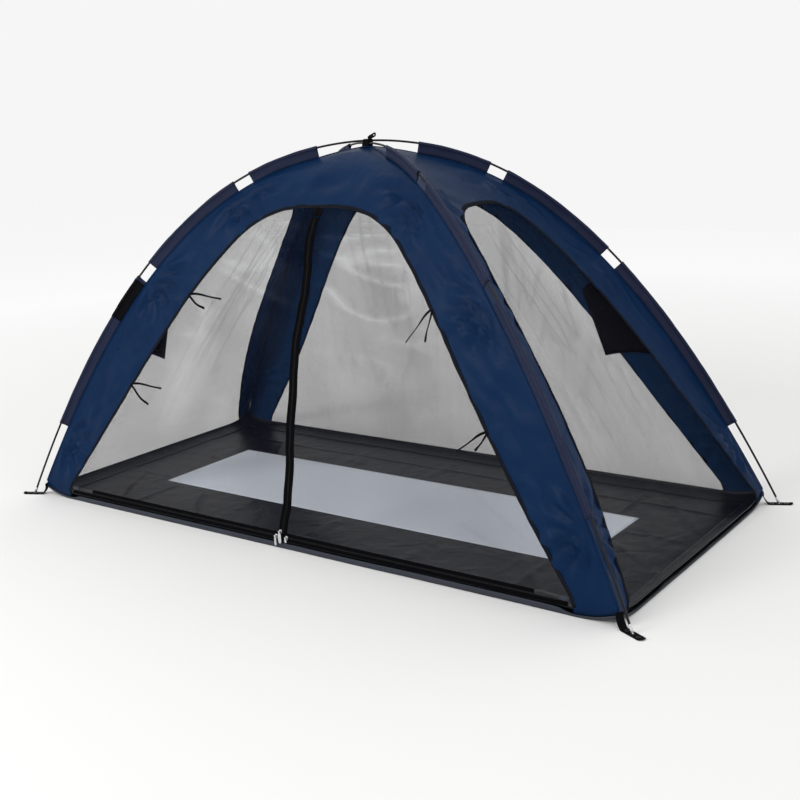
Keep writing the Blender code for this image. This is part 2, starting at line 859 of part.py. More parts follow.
def crease_point(wall, side, height):
    """Place on the straight fold line that a door leaf swings about."""
    foot, top = crease_foot(side), crease_top(wall)
    share = (height - foot.z) / (top.z - foot.z)
    return foot + (top - foot) * share


def door_rows(foot, top, steps):
    return [foot + (top - foot) * i / steps for i in range(steps + 1)]


def fixed_net(wall, side, material):
    """Net between the window's edge and the fold line, and over the door's head."""
    rows = []
    heights = wall.window_heights(-2 * EDGE_GAP, 0.0)
    knee = crease_knee(wall)
    heights = sorted(heights[:-1] + [knee, heights[-1] - TINY])
    for height in heights:
        outer = max(wall.window_half(height, -2 * EDGE_GAP), DOOR_TAPE_WIDTH * 2)
        edge = wall.point(height, side * outer, -2 * GAP)
        if height < knee:
            inner = crease_point(wall, side, height)
            inner.x += side * CLEAR_OF_CREASE * 2
        else:
            inner = wall.point(height, side * (DOOR_TAPE_WIDTH + EDGE_GAP))
        rows.append([edge + (inner - edge) * share for share in (0, 0.5, 1)])
    return sheet("door_side_net_" + SIDE_NAMES[side], rows, NET, material)


def crease_knee(wall):
    """Height where the fold line comes within a tape's width of the upright zip."""
    foot, top = crease_foot(1), crease_top(wall)
    share = 1 - (DOOR_TAPE_WIDTH + EDGE_GAP - CLEAR_OF_CREASE * 2) / foot.x
    return foot.z + (top.z - foot.z) * share


SIDE_NAMES = {-1: "left", 1: "right"}


def door_leaf(wall, side, material):
    """Triangle of net between its fold line and the upright zip."""
    rows = []
    for height in door_rows(SILL_TOP, LEAF_TOP, ROWS):
        start = crease_point(wall, side, height)
        start.x -= side * CLEAR_OF_CREASE * 2
        end = wall.point(height, side * (DOOR_TAPE_WIDTH + EDGE_GAP))
        rows.append([start + (end - start) * share for share in (0, 0.5, 1)])
    return sheet("door_leaf_" + SIDE_NAMES[side], rows, NET, material, crease_foot(side))


def door_leaf_tape(wall, side, material):
    """Zip tape on the leaf's free edge, with its run along the sill in one piece."""
    start, corner = side * GAP, side * DOOR_TAPE_WIDTH
    end = side * (CREASE_REACH - LEAF_INSET)
    columns = [start] + [corner + (end - corner) * i / SILL_STEPS for i in range(SILL_STEPS + 1)]
    low = HEM_TOP + SILL_TAPE_HEIGHT + EDGE_GAP
    high = SILL_TOP - 2 * EDGE_GAP
    vertices = [wall.on_centre(height, x) for height in (low, high) for x in columns]
    faces = grid_faces(2, len(columns))
    previous = len(columns)
    for height in door_rows(high, LEAF_TOP, ROWS)[1:]:
        first = len(vertices)
        vertices += [wall.on_centre(height, start), wall.on_centre(height, corner)]
        faces += [(previous, previous + 1, first + 1), (previous, first + 1, first)]
        previous = first
    obj = link_mesh("door_leaf_tape_" + SIDE_NAMES[side], vertices, faces, material, crease_foot(side))
    thicken(obj, TAPE)
    return obj


def zip_head(wall):
    """Hidden tool for the fixed top of the upright zip, which joins the window's binding."""
    top = SIDE_WINDOW_TOP - GAP * 2
    rows = []
    for height in door_rows(ZIP_HEAD_FOOT, top, 2):
        rows.append([wall.point(height, x * DOOR_TAPE_WIDTH, SEWN_UNDER_LIFT) for x in (-1, 1)])
    head = sheet("cut_zip_head", rows, TAPE, None)
    hide(head)
    return head


def sill_tape(wall, material):
    """Fixed tape of the sill zip, which rises at both ends to the closed top of the zip."""
    outer = SILL_ZIP_HALF + SILL_END_LENGTH
    low, high = HEM_TOP, SILL_TOP - 2 * EDGE_GAP
    rows = []
    for height in (low, high):
        places = [-outer + 2 * outer * i / SILL_STEPS for i in range(SILL_STEPS + 1)]
        rows.append([wall.on_centre(height, across) for across in places])
    obj = sheet("sill_zip_tape", rows, TAPE, material)
    half = CREASE_REACH + LEAF_INSET / 2
    middle = low + SILL_TAPE_HEIGHT
    opening = [(-half, middle), (half, middle), (half, high + HEM_HEIGHT), (-half, high + HEM_HEIGHT)]
    boolean(obj, "DIFFERENCE", wall.cutter("sill_opening", opening))
    return obj


# Sliders and pulls

def block(vertices, faces, centre, size, turn=Matrix.Identity(3)):
    start = len(vertices)
    for dx in (-0.5, 0.5):
        for dy in (-0.5, 0.5):
            for dz in (-0.5, 0.5):
                vertices.append(centre + turn @ Vector((dx * size[0], dy * size[1], dz * size[2])))
    for face in ((0, 1, 3, 2), (4, 6, 7, 5), (0, 4, 5, 1), (2, 3, 7, 6), (0, 2, 6, 4), (1, 5, 7, 3)):
        faces.append(tuple(start + i for i in face))


def rod_mesh(centre, axis, across, radius, length, sides):
    """Vertices and faces of a round rod about an axis."""
    third = axis.cross(across)
    rings = []
    for end in (-0.5, 0.5):
        ring = []
        for i in range(sides):
            angle = 2 * pi * (i + 0.5) / sides
            ring.append(centre + axis * (length * end)
                        + across * (radius * cos(angle)) + third * (radius * sin(angle)))
        rings.append(ring)
    return [p for ring in rings for p in ring], loft(rings)


def pin_distance():
    return SLIDER_BODY + EAR_REACH - PIN_DIAMETER


def slider(name, back, outward, material, origin):
    """Slider body whose back is at a point on the zip, with two ears and a pin for its pull."""
    across = Vector((1, 0, 0))
    up = across.cross(outward) * -1
    turn = Matrix((across, outward, up)).transposed()
    vertices, faces = [], []
    block(vertices, faces, back + outward * (SLIDER_BODY / 2),
          (SLIDER_WIDTH, SLIDER_BODY, SLIDER_LENGTH), turn)
    obj = link_mesh(name, vertices, faces, material, origin)
    orient_outwards(obj.data)
    bevel = obj.modifiers.new("rounding", "BEVEL")
    bevel.width = SLIDER_BEVEL
    bevel.segments = 2
    ear_at = SLIDER_WIDTH / 2 - EAR_THICKNESS
    for side in (-1, 1):
        vertices, faces = [], []
        centre = back + across * (side * ear_at) + outward * (SLIDER_BODY + EAR_REACH / 2 - TINY * 5)
        block(vertices, faces, centre, (EAR_THICKNESS, EAR_REACH, EAR_REACH / 2), turn)
        ear = link_mesh(name + "_ear_" + SIDE_NAMES[side], vertices, faces, None)
        orient_outwards(ear.data)
        hide(ear)
        boolean(obj, "UNION", ear)
    centre = back + outward * pin_distance()
    length = 2 * ear_at
    vertices, faces = rod_mesh(centre, across, outward, PIN_DIAMETER / 2, length, KNUCKLE_SIDES)
    pin = link_mesh(name + "_pin", vertices, faces, None)
    orient_outwards(pin.data)
    hide(pin)
    boolean(obj, "UNION", pin)
    return obj


def pull(name, pin, size, material):
    """Flat pull hanging from the slider's pin by a bored knuckle."""
    width, length = size
    across = Vector((1, 0, 0))
    out = Vector((0, -1, 0))
    neck = SLIDER_WIDTH / 2 - EAR_THICKNESS * 2
    shoulder = KNUCKLE_DIAMETER
    half = width / 2
    top = -KNUCKLE_DIAMETER * KNUCKLE_OVERLAP_SHARE
    outline = [(-neck, top), (-neck, -shoulder), (-half, -shoulder - half / 2),
               (-half, half - length), (-half / 2, -length), (half / 2, -length), (half, half - length),
               (half, -shoulder - half / 2), (neck, -shoulder), (neck, top)]
    rings = []
    for depth in (-PULL_THICKNESS / 2, PULL_THICKNESS / 2):
        rings.append([pin + Vector((x, depth, z)) for x, z in outline])
    obj = link_mesh(name, [p for ring in rings for p in ring], loft(rings), material, pin)
    orient_outwards(obj.data)
    for kind, radius, length, operation in (
            ("knuckle", KNUCKLE_DIAMETER / 2, neck * 2 - GAP, "UNION"),
            ("bore", KNUCKLE_BORE / 2, neck * 4, "DIFFERENCE")):
        vertices, faces = rod_mesh(pin, across, out, radius, length, KNUCKLE_SIDES)
        tool = link_mesh(name + "_" + kind, vertices, faces, None)
        orient_outwards(tool.data)
        hide(tool)
        boolean(obj, operation, tool)
    return obj


def zip_sliders(wall, material):
    """One slider on the upright zip and two on the sill zip, each with its pull."""
    height = DOOR_SLIDER_HEIGHT
    face = TAPE / 2 + GAP
    normal = wall.normal(height, 0)
    place = wall.point(height, 0) + normal * face - Vector((DOOR_SLIDER_OFFSET, 0, 0))
    axis = Vector((0, 0, 0)) + wall.plane(0, wall.arc_centre.y, wall.arc_centre.x)
    slider("door_zip_slider", place, normal, material, axis)
    pull("door_zip_pull", place + normal * pin_distance(), DOOR_PULL, material)
    middle = HEM_TOP + SILL_TAPE_HEIGHT
    for side, offset, size in ((-1, SILL_SLIDER_LEFT, LEFT_PULL), (1, SILL_SLIDER_RIGHT, RIGHT_PULL)):
        normal = wall.normal(middle, 0)
        place = wall.point(middle, side * offset) + normal * face
        name = SIDE_NAMES[side]
        slider("sill_zip_slider_" + name, place, normal, material, place)
        pull("sill_zip_pull_" + name, place + normal * pin_distance(), size, material)


# Ties, pockets and crown

def tie_ribbon(wall, side, start, end):
    """Ribbon from the window's edge, drooping clear of the net."""
    rows = []
    span = Vector((end[0] - start[0], end[1] - start[1]))
    run = span.normalized() * (TIE_WIDTH / 2)
    sewn = BINDING_WIDTH / 2 / span.length
    shares = [0] + [sewn + (1 - sewn) * i / TIE_STEPS for i in range(TIE_STEPS + 1)]
    for share in shares:
        free = max(share - sewn, 0) / (1 - sewn)
        x = start[0] + span.x * share
        z = start[1] + span.y * share + TIE_SAG * 4 * free * (1 - free)
        out = SEWN_ON_LIFT + TIE_LIFT * min(free * 3, 1)
        row = [wall.point(z + way * run.x, side * (x - way * run.y), out) for way in (-1, 1)]
        rows.append(row)
    return rows


def door_ties(wall):
    """Hidden tools for the pairs of ribbons that hold a rolled leaf, sewn into the binding."""
    tools = []
    for k, (side, height, first, second) in enumerate(TIES):
        for end, drop in ((first, 0), (second, TIE_WIDTH * 2)):
            start = (wall.window_half(height - drop, BINDING_WIDTH / 4), height - drop)
            ribbon = tie_ribbon(wall, side, start, end)
            tool = sheet("cut_tie_" + str(len(tools)), ribbon, TIE_THICKNESS, None)
            hide(tool)
            tools.append(tool)
    return tools


def corner_pocket(name, wall, side, material):
    """Pouch on the inside of the border: sewn along the seam and its foot, open at its top."""
    rows = []
    for i in range(POCKET_ROWS + 1):
        share = i / POCKET_ROWS
        height = POCKET_BOTTOM + (POCKET_TOP - POCKET_BOTTOM) * share
        seam_side = wall.seam(height)[0] - POCKET_SEAM_GAP
        rise = max(height - POCKET_SHOULDER, 0) / (POCKET_TOP - POCKET_SHOULDER)
        free = POCKET_SIDE + (seam_side - TAB_WIDTH - POCKET_SIDE) * rise
        row = []
        for k in range(POCKET_COLUMNS + 1):
            along = k / POCKET_COLUMNS
            across = free + (seam_side - free) * along
            open_by = POCKET_DEPTH * share * sin(pi * min(along + POCKET_FULLEST_SHARE, 1))
            inside = POCKET_LIFT + open_by + POCKET_NET_CLEARANCE * max(0, 1 - POCKET_SLOPE_SHARE * along)
            row.append(wall.point(height, side * across, -inside))
        rows.append(row)
    return sheet(name, rows, NET, material)


def crown_strap(material):
    """Round patch over the peak, with webbing up over both poles and its eyeletted tail."""
    height = APEX + CLOTH / 2 + GAP * 2
    rings = []
    for z in (height, height + CLOTH):
        ring = []
        for i in range(PATCH_SIDES):
            angle = 2 * pi * i / PATCH_SIDES
            ring.append(Vector((PATCH_DIAMETER / 2 * cos(angle), PATCH_DIAMETER / 2 * sin(angle), z)))
        rings.append(ring)
    obj = link_mesh("crown_strap", [p for ring in rings for p in ring], loft(rings), material)
    orient_outwards(obj.data)
    foot = height + CLOTH / 2
    top = pole_point(0, 1).z + POLE_RADIUS + GAP + STRAP_THICKNESS / 2
    side = STRAP_HALF_SPAN
    bend = side / 5
    path = [(-side, foot), (-side, top - bend), (bend - side, top), (side - bend, top), (side, top - bend),
            (side, foot)]
    loop = [[(-STRAP_WIDTH / 2, y, z), (STRAP_WIDTH / 2, y, z)] for y, z in path]
    tail = []
    for share in TAIL_SHARES:
        x = STRAP_TAIL_LENGTH * share
        z = top + STRAP_THICKNESS / 2 + STRAP_TAIL_RISE * share ** 1.5
        tail.append([(x, -STRAP_WIDTH / 3, z), (x, STRAP_WIDTH / 3, z)])
    for kind, rows in (("loop", loop), ("tail", tail)):
        tool = sheet("cut_strap_" + kind, rows, STRAP_THICKNESS, None)
        hide(tool)
        boolean(obj, "UNION", tool)
    hole_at = Vector((STRAP_TAIL_LENGTH * TAIL_HOLE_SHARE, 0, top))
    boolean(obj, "DIFFERENCE", round_tool("cut_strap_hole", hole_at, STRAP_HOLE / 2, STRAP_TAIL_RISE * 2))
    return obj


def main():
    clear_scene()
    navy = make_material("navy_cloth", (0.016, 0.042, 0.115), 0.8)
    slate = make_material("slate_cloth", (0.025, 0.028, 0.070), 0.8)
    dark = make_material("dark_floor_cloth", (0.027, 0.030, 0.033), 0.75)
    light = make_material("light_floor_cloth", (0.40, 0.42, 0.47), 0.7)
    piping = make_material("hem_cloth", (0.05, 0.055, 0.09), 0.7)
    black = make_material("black_tape", (0.012, 0.012, 0.014), 0.75)
    net = make_material("black_net", (0.02, 0.02, 0.022), 0.8)
    rod = make_material("black_fibreglass", (0.012, 0.012, 0.013), 0.4)
    metal = make_material("bright_metal", (0.75, 0.75, 0.76), 0.25, 1.0)

    sill = HEM_TOP + SILL_TAPE_HEIGHT
    front = Wall("front", (0, -1, 0), SIDE_ARC_RADIUS, sill, SIDE_WINDOW_TOP, SIDE_TOP_INSET)
    back = Wall("back", (0, 1, 0), SIDE_ARC_RADIUS, HEM_TOP, SIDE_WINDOW_TOP, SIDE_TOP_INSET)
    left = Wall("left", (-1, 0, 0), END_ARC_RADIUS, HEM_TOP, END_WINDOW_TOP, END_TOP_INSET)
    right = Wall("right", (1, 0, 0), END_ARC_RADIUS, HEM_TOP, END_WINDOW_TOP, END_TOP_INSET)

    for wall in (front, back, left, right):
        wall.foot_cutter = wall.cutter("foot", wall.foot_outline(EDGE_GAP), HALF_WIDTH / 2)
        wall_panel(wall, navy, SEAM_GAP * (2 if wall.long else 1))
        binding = wall_binding(wall, black)
        if wall is front:
            for tool in [zip_head(wall)] + door_ties(wall):
                boolean(binding, "UNION", tool)
        if wall is not front:
            wall_net(wall, net)
    floor_margin(dark)
    floor_hem(piping)
    light_panel(light)

    for hand, letter in ((1, "a"), (-1, "b")):
        pole_sections(letter, hand, rod)
    for corner, sx, sy in CORNERS:
        hand = sx * sy
        for part, low, high in SLEEVE_SHARES:
            ends = (low, high) if sx > 0 else (-high, -low)
            sleeve("sleeve_" + corner + "_" + part, *ends, hand, slate)
        corner_tab("corner_tab_" + corner, sx, sy, black)

    for side in (-1, 1):
        fixed_net(front, side, net)
        door_leaf(front, side, net)
        door_leaf_tape(front, side, black)
    sill_tape(front, black)
    zip_sliders(front, metal)
    corner_pocket("corner_pocket_front_left", front, -1, black)
    corner_pocket("corner_pocket_back_right", back, 1, black)
    crown_strap(black)


main()
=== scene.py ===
"""Mosquito net tent, dressed: cloth, nets, tapes, webbing, rods, camera and soft studio light.

Metres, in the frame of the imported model: X along the bed, the door in the long side at -Y.
A name in LAYERS is a table of smooth noise: stretch along x and y, fineness, seed and height of each layer.
A name in CUT is the length that a sheet was cut to.
"""

from bisect import bisect_left
from itertools import accumulate
from math import atan2, cos, exp, hypot, pi, radians, sin, sqrt

import bmesh
import bpy
from mathutils import Matrix, Vector, noise


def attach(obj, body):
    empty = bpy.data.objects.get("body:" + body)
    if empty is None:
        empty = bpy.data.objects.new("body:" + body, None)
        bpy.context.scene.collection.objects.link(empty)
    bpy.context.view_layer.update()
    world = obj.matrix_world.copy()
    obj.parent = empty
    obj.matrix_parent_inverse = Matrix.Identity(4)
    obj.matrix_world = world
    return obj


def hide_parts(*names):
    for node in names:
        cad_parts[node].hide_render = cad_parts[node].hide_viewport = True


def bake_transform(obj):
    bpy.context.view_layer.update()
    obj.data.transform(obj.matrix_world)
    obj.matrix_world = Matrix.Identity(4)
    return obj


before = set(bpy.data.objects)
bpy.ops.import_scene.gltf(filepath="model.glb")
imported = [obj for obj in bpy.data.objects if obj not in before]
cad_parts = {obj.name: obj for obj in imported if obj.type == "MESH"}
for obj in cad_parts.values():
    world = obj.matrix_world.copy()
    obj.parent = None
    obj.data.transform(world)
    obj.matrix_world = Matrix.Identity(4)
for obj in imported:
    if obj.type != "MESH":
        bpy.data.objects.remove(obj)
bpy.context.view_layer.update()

# Floor and poles
FLOOR_LENGTH = 2.0
FLOOR_WIDTH = 0.95
CROWN_HEIGHT = 1.066
PIN_OUTSET = 0.044
PIN_HEIGHT = 0.008
POLE_BOW = 0.043
ARCH_FULLNESS = 2.19
POLE_RADIUS = 0.003
CROSSING_REACH = 0.12
CROWN_RISE = 0.0165
CROWN_RISE_REACH = 0.155
CROWN_RISE_POWER = 1.15
CROWN_OPENING = 0.012
POLE_GAP = 0.0003
CORNER_LIFT = 0.023
LIFT_RUN = 0.11
HEM_TOP = 0.0226
SLEEVE_DROP = 0.028
SEAM_FADE = 8
SEAM_STEPS = 800
ARC_STEPS = 2000
SEAM_END_SHARES = (0.8, 1.0)
TIP_SEARCH_SHARES = (0.5, 1.1)
FRAME_STEP_SHARE = 0.0005
HALVINGS = 50

# Windows and walls: width of the border at its foot and above, and the height that it widens over
SIDE_BORDER = (0.105, 0.198, 0.60)
END_BORDER = (0.040, 0.113, 0.50)
SIDE_WINDOW_TOP = 0.905
END_WINDOW_TOP = 0.896
SIDE_CORNER = 0.105
END_CORNER = 0.085
CORNER_SQUARENESS = 3.5
SIDE_ARC_RADIUS = 4.0
SIDE_TOP_INSET = 0.004
END_ARC_RADIUS = 6.0
END_TOP_INSET = 0.030
INSET_POWER = 0.75
NORMAL_STEP = 0.004
LEAST_HALF = 0.001
OUTLINE_STEPS = 60
SEWN_OVERLAP = 0.002

# Door
SILL_TAPE = 0.0112
SILL_FOOT = HEM_TOP + SILL_TAPE
SILL_TOP = 0.0468
TAPE_HALF = 0.0145
TAPE_THICKNESS = 0.0012
LEAF_TOP = 0.876
ZIP_WAVE = ((0.0, 0.001), (0.050, 0.001), (0.136, 0.0115), (0.217, 0.0115), (0.283, 0.0050), (0.348, 0.0007),
            (0.414, -0.0015), (0.479, -0.0075), (0.557, -0.0130), (0.623, -0.0085), (0.675, -0.0050),
            (0.740, -0.0095), (0.776, -0.0160), (0.817, -0.0200), (0.856, -0.0170), (0.896, -0.0090),
            (0.910, -0.0085))

HALF_LENGTH = FLOOR_LENGTH / 2
HALF_WIDTH = FLOOR_WIDTH / 2
HALF_DIAGONAL = hypot(HALF_LENGTH, HALF_WIDTH)
ALONG = Vector((HALF_LENGTH, HALF_WIDTH)) / HALF_DIAGONAL
HALF_SPAN = HALF_DIAGONAL + PIN_OUTSET
CROWN_SHARE = CROWN_OPENING / HALF_SPAN
CORNERS = (("front_left", -1, -1), ("front_right", 1, -1), ("back_right", 1, 1), ("back_left", -1, 1))
SIDE_NAMES = {-1: "left", 1: "right"}
UP = Vector((0, 0, 1))
FORWARD = Vector((0, -1, 0))


# Camera, as the photograph was taken

CAMERA_PLACE = Vector((2.0701, -2.7337, 1.1666))
CAMERA_YAW = 0.6313
CAMERA_PITCH = 0.2456
CAMERA_ROLL = -0.0471
CAMERA_LENS = 53.16
SENSOR = 36.0


def add_camera():
    data = bpy.data.cameras.new("camera")
    data.lens = CAMERA_LENS
    data.sensor_width = SENSOR
    data.sensor_fit = "HORIZONTAL"
    forward = Vector((-sin(CAMERA_YAW) * cos(CAMERA_PITCH), cos(CAMERA_YAW) * cos(CAMERA_PITCH),
                      -sin(CAMERA_PITCH)))
    level = Vector((cos(CAMERA_YAW), sin(CAMERA_YAW), 0))
    upright = level.cross(forward)
    right = level * cos(CAMERA_ROLL) + upright * sin(CAMERA_ROLL)
    up = upright * cos(CAMERA_ROLL) - level * sin(CAMERA_ROLL)
    camera = bpy.data.objects.new("camera", data)
    turn = Matrix((right, up, -forward)).transposed().to_4x4()
    camera.matrix_world = Matrix.Translation(CAMERA_PLACE) @ turn
    bpy.context.scene.collection.objects.link(camera)
    bpy.context.scene.camera = camera


# Small sums

def between(low, high, steps):
    """Evenly spaced values from low to high."""
    return [low + (high - low) * i / steps for i in range(steps + 1)]


def ramp(value, start, end):
    """0 at the start, 1 at the end, straight between them and level outside."""
    return min(max((value - start) / (end - start), 0), 1)


def ridge(value, sharpness):
    """1 along the line where a smooth field is zero, falling away to either side."""
    return max(0.0, 1 - abs(value) * sharpness)


def wrinkle(x, y, fineness, seed):
    """Smooth noise from -1 to 1 over the cloth."""
    return noise.noise(Vector((x * fineness, y * fineness, seed * 7.3)))


def rumple(x, y, layers, seed=0):
    """Layers of smooth noise, one over the other."""
    return sum(wrinkle(x * a, y * b, fine, seed + own) * height for a, b, fine, own, height in layers)


def find_root(function, low, high):
    for _ in range(HALVINGS):
        middle = (low + high) / 2
        if function(middle) > 0:
            low = middle
        else:
            high = middle
    return (low + high) / 2


# Curves of the frame

def arch(q):
    """Distance from the crown, and height, of the poles' arch at share q of its half span."""
    rise = CROWN_HEIGHT - PIN_HEIGHT
    return HALF_SPAN * q, PIN_HEIGHT + rise * (1 - abs(q) ** ARCH_FULLNESS)


def arch_slope(q):
    rise = CROWN_HEIGHT - PIN_HEIGHT
    return Vector((HALF_SPAN, -rise * ARCH_FULLNESS * q ** (ARCH_FULLNESS - 1))).normalized()


CORNER_POINT = Vector((HALF_DIAGONAL, CORNER_LIFT + HEM_TOP))
SEAM_END = find_root(lambda q: (CORNER_POINT - Vector(arch(q))).dot(arch_slope(q)), *SEAM_END_SHARES)
END_DROP = (CORNER_POINT - Vector(arch(SEAM_END))).length


def bowed(s, bow):
    """Place s along the floor's diagonal, with the poles' sideways bow."""
    return ALONG.x * s - ALONG.y * bow, ALONG.y * s + ALONG.x * bow


def seam(q):
    """Half length, half width and height of the canopy's seam below the pole at share q."""
    s, z = arch(q)
    slope = arch_slope(q)
    drop = SLEEVE_DROP + (END_DROP - SLEEVE_DROP) * (q / SEAM_END) ** SEAM_FADE
    return *bowed(s + drop * slope.y, POLE_BOW * sin(pi * q / SEAM_END)), z - drop * slope.x


def seam_share(height):
    return find_root(lambda q: seam(q)[2] - height, 0.0, 1.0)


APEX = seam(0)[2]
SEAM_TABLE = [seam(q) for q in between(0, SEAM_END, SEAM_STEPS)]


def seam_at(height):
    """Half length and half width of the canopy at a height."""
    k = bisect_left(SEAM_TABLE, -height, 1, SEAM_STEPS, key=lambda place: -place[2])
    a, b = SEAM_TABLE[k - 1], SEAM_TABLE[k]
    share = ramp(height, a[2], b[2])
    return a[0] + (b[0] - a[0]) * share, a[1] + (b[1] - a[1]) * share


def pole_point(q, hand):
    s, z = arch(q)
    apart = (POLE_RADIUS + POLE_GAP) * exp(-(s / CROSSING_REACH) ** 2)
    x, y = bowed(s, POLE_BOW * sin(pi * q))
    return Vector((x, hand * y, z + hand * apart))


def seam_point(q, hand):
    x, y, z = seam(abs(q))
    side = 1 if q >= 0 else -1
    return Vector((side * x, hand * side * y, z))


def pole_frame(q, hand):
    """Point on the pole, and its directions along, sideways and away from the seam."""
    step = FRAME_STEP_SHARE
    point = pole_point(q, hand)
    tangent = (pole_point(q + step, hand) - pole_point(q - step, hand)).normalized()
    outward = point - seam_point(q, hand)
    outward = (outward - tangent * outward.dot(tangent)).normalized()
    return point, tangent, tangent.cross(outward), outward


POLE_POINTS = [pole_point(q, 1) for q in between(0, 1, ARC_STEPS)]
ARC = list(accumulate(((b - a).length for a, b in zip(POLE_POINTS, POLE_POINTS[1:])), initial=0.0))


def share_at_arc(arc):
    share = min(bisect_left(ARC, abs(arc)), ARC_STEPS) / ARC_STEPS
    return share if arc >= 0 else -share


def tip_share(height):
    return find_root(lambda q: arch(q)[1] - height, *TIP_SEARCH_SHARES)


def corner_lift(distance):
    return CORNER_LIFT * max(0, 1 - distance / LIFT_RUN) ** 2


def floor_lift(x, y):
    """How far the floor's nearest corner is turned up at a place."""
    return corner_lift(hypot(HALF_LENGTH - abs(x), HALF_WIDTH - abs(y)))


def crown_rise(place):
    """The strap draws the cloth up towards the crossing of the poles."""
    near = max(0, 1 - hypot(place.x, place.y) / CROWN_RISE_REACH)
    return place + UP * (CROWN_RISE * near ** CROWN_RISE_POWER)


def zip_wave(height):
    """How far the loose zip wanders sideways at a height."""
    for (z0, x0), (z1, x1) in zip(ZIP_WAVE, ZIP_WAVE[1:]):
        if z0 <= height <= z1:
            share = (height - z0) / (z1 - z0)
            return x0 + (x1 - x0) * share * share * (3 - 2 * share)
    return ZIP_WAVE[-1][1]


class Wall:
    """One of the four walls: a curved panel between two seams, slack towards its middle."""

    def __init__(self, name, out, arc_radius, foot, top, inset):
        self.name = name
        self.out = Vector(out)
        self.long = bool(out[1])
        self.half, low = (HALF_LENGTH, HALF_WIDTH) if self.long else (HALF_WIDTH, HALF_LENGTH)
        self.top = top
        self.corner = top - (SIDE_CORNER if self.long else END_CORNER)
        self.inset = inset
        high = self.seam(top)[1] - inset
        run = Vector((high - low, top - foot))
        middle = Vector((high + low, top + foot)) / 2
        outwards = Vector((run.y, -run.x)).normalized()
        self.arc_centre = middle - outwards * sqrt(arc_radius ** 2 - run.length ** 2 / 4)
        self.arc_radius = arc_radius

    def seam(self, height):
        x, y = seam_at(height)
        return (x, y) if self.long else (y, x)

    def seam_reach(self, q):
        """How far along the wall its seam lies at share q of the pole, and the seam's height."""
        x, y, z = seam(q)
        return x if self.long else y, z

    def centre(self, height):
        """How far out the wall's middle is: on an arc up to the window's top, then in towards the crown."""
        if height <= self.top:
            rise = height - self.arc_centre.y
            return self.arc_centre.x + sqrt(self.arc_radius ** 2 - rise ** 2)
        left = (APEX - height) / (APEX - self.top)
        return self.seam(height)[1] - self.inset * max(left, 0) ** INSET_POWER

    def plane(self, across, height, depth):
        if self.long:
            return Vector((across, self.out.y * depth, height))
        return Vector((self.out.x * depth, across, height))

    def point(self, height, across, lift=0.0):
        half, reach = self.seam(height)
        share = min(abs(across) / max(half, LEAST_HALF), 1.0)
        depth = reach + (self.centre(height) - reach) * (1 - share ** 2)
        place = self.plane(across, height, depth)
        return place + self.normal(height, across) * lift if lift else place

    def normal(self, height, across):
        step = NORMAL_STEP
        up = self.point(height + step, across) - self.point(height - step, across)
        along = self.point(height, across + step) - self.point(height, across - step)
        normal = up.cross(along).normalized()
        return normal if normal.dot(self.out) + normal.z > 0 else -normal

    def border(self, height):
        low, high, rise = SIDE_BORDER if self.long else END_BORDER
        share = ramp(height, 0, rise)
        return low + (high - low) * share * (2 - share)

    def window_half(self, height, grow=0.0):
        side = max(self.seam(height)[0] - self.border(height) + grow, 0)
        share = ramp(height, self.corner, self.top + grow)
        return side * (1 - share ** CORNER_SQUARENESS) ** (1 / CORNER_SQUARENESS)

    def window_outline(self, foot, count, grow=0.0):
        """Evenly spaced (across, height) places from the window's left foot over its top to the right."""
        start, rise = self.corner, self.top + grow - self.corner
        heights = between(foot, start, OUTLINE_STEPS)[:-1]
        heights += [start + rise * sin(pi / 2 * share) for share in between(0, 1, OUTLINE_STEPS)]
        half = [(-self.window_half(h, grow), h) for h in heights[:-1]] + [(0.0, heights[-1])]
        return spaced(half + [(-a, h) for a, h in reversed(half[:-1])], count)


def spaced(line, count):
    """Points at even distances along a line of pairs."""
    marks = list(accumulate((hypot(b[0] - a[0], b[1] - a[1]) for a, b in zip(line, line[1:])), initial=0.0))
    points, k = [], 0
    for goal in between(0, marks[-1], count):
        while k < len(marks) - 2 and marks[k + 1] < goal:
            k += 1
        a, b = line[k], line[k + 1]
        share = (goal - marks[k]) / (marks[k + 1] - marks[k])
        points.append((a[0] + (b[0] - a[0]) * share, a[1] + (b[1] - a[1]) * share))
    return points


FRONT = Wall("front", (0, -1, 0), SIDE_ARC_RADIUS, SILL_FOOT, SIDE_WINDOW_TOP, SIDE_TOP_INSET)
BACK = Wall("back", (0, 1, 0), SIDE_ARC_RADIUS, HEM_TOP, SIDE_WINDOW_TOP, SIDE_TOP_INSET)
LEFT = Wall("left", (-1, 0, 0), END_ARC_RADIUS, HEM_TOP, END_WINDOW_TOP, END_TOP_INSET)
RIGHT = Wall("right", (1, 0, 0), END_ARC_RADIUS, HEM_TOP, END_WINDOW_TOP, END_TOP_INSET)
WALLS = (FRONT, BACK, LEFT, RIGHT)


# Materials

MIX_COLOURS = (6, 7)


def plug(made, inputs):
    """Links each input that is given a socket, and sets the others to their value."""
    for key, value in inputs.items():
        if isinstance(value, bpy.types.NodeSocket):
            made.id_data.links.new(value, made.inputs[key])
        else:
            made.inputs[key].default_value = value


def node(tree, kind, inputs=(), **settings):
    made = tree.nodes.new(kind)
    for name, value in settings.items():
        setattr(made, name, value)
    plug(made, dict(inputs))
    return made


def math_node(tree, operation, *values):
    return node(tree, "ShaderNodeMath", dict(enumerate(values)), operation=operation).outputs[0]


def new_material(name):
    material = bpy.data.materials.new(name)
    material.use_nodes = True
    tree = material.node_tree
    return material, tree, tree.nodes["Principled BSDF"]


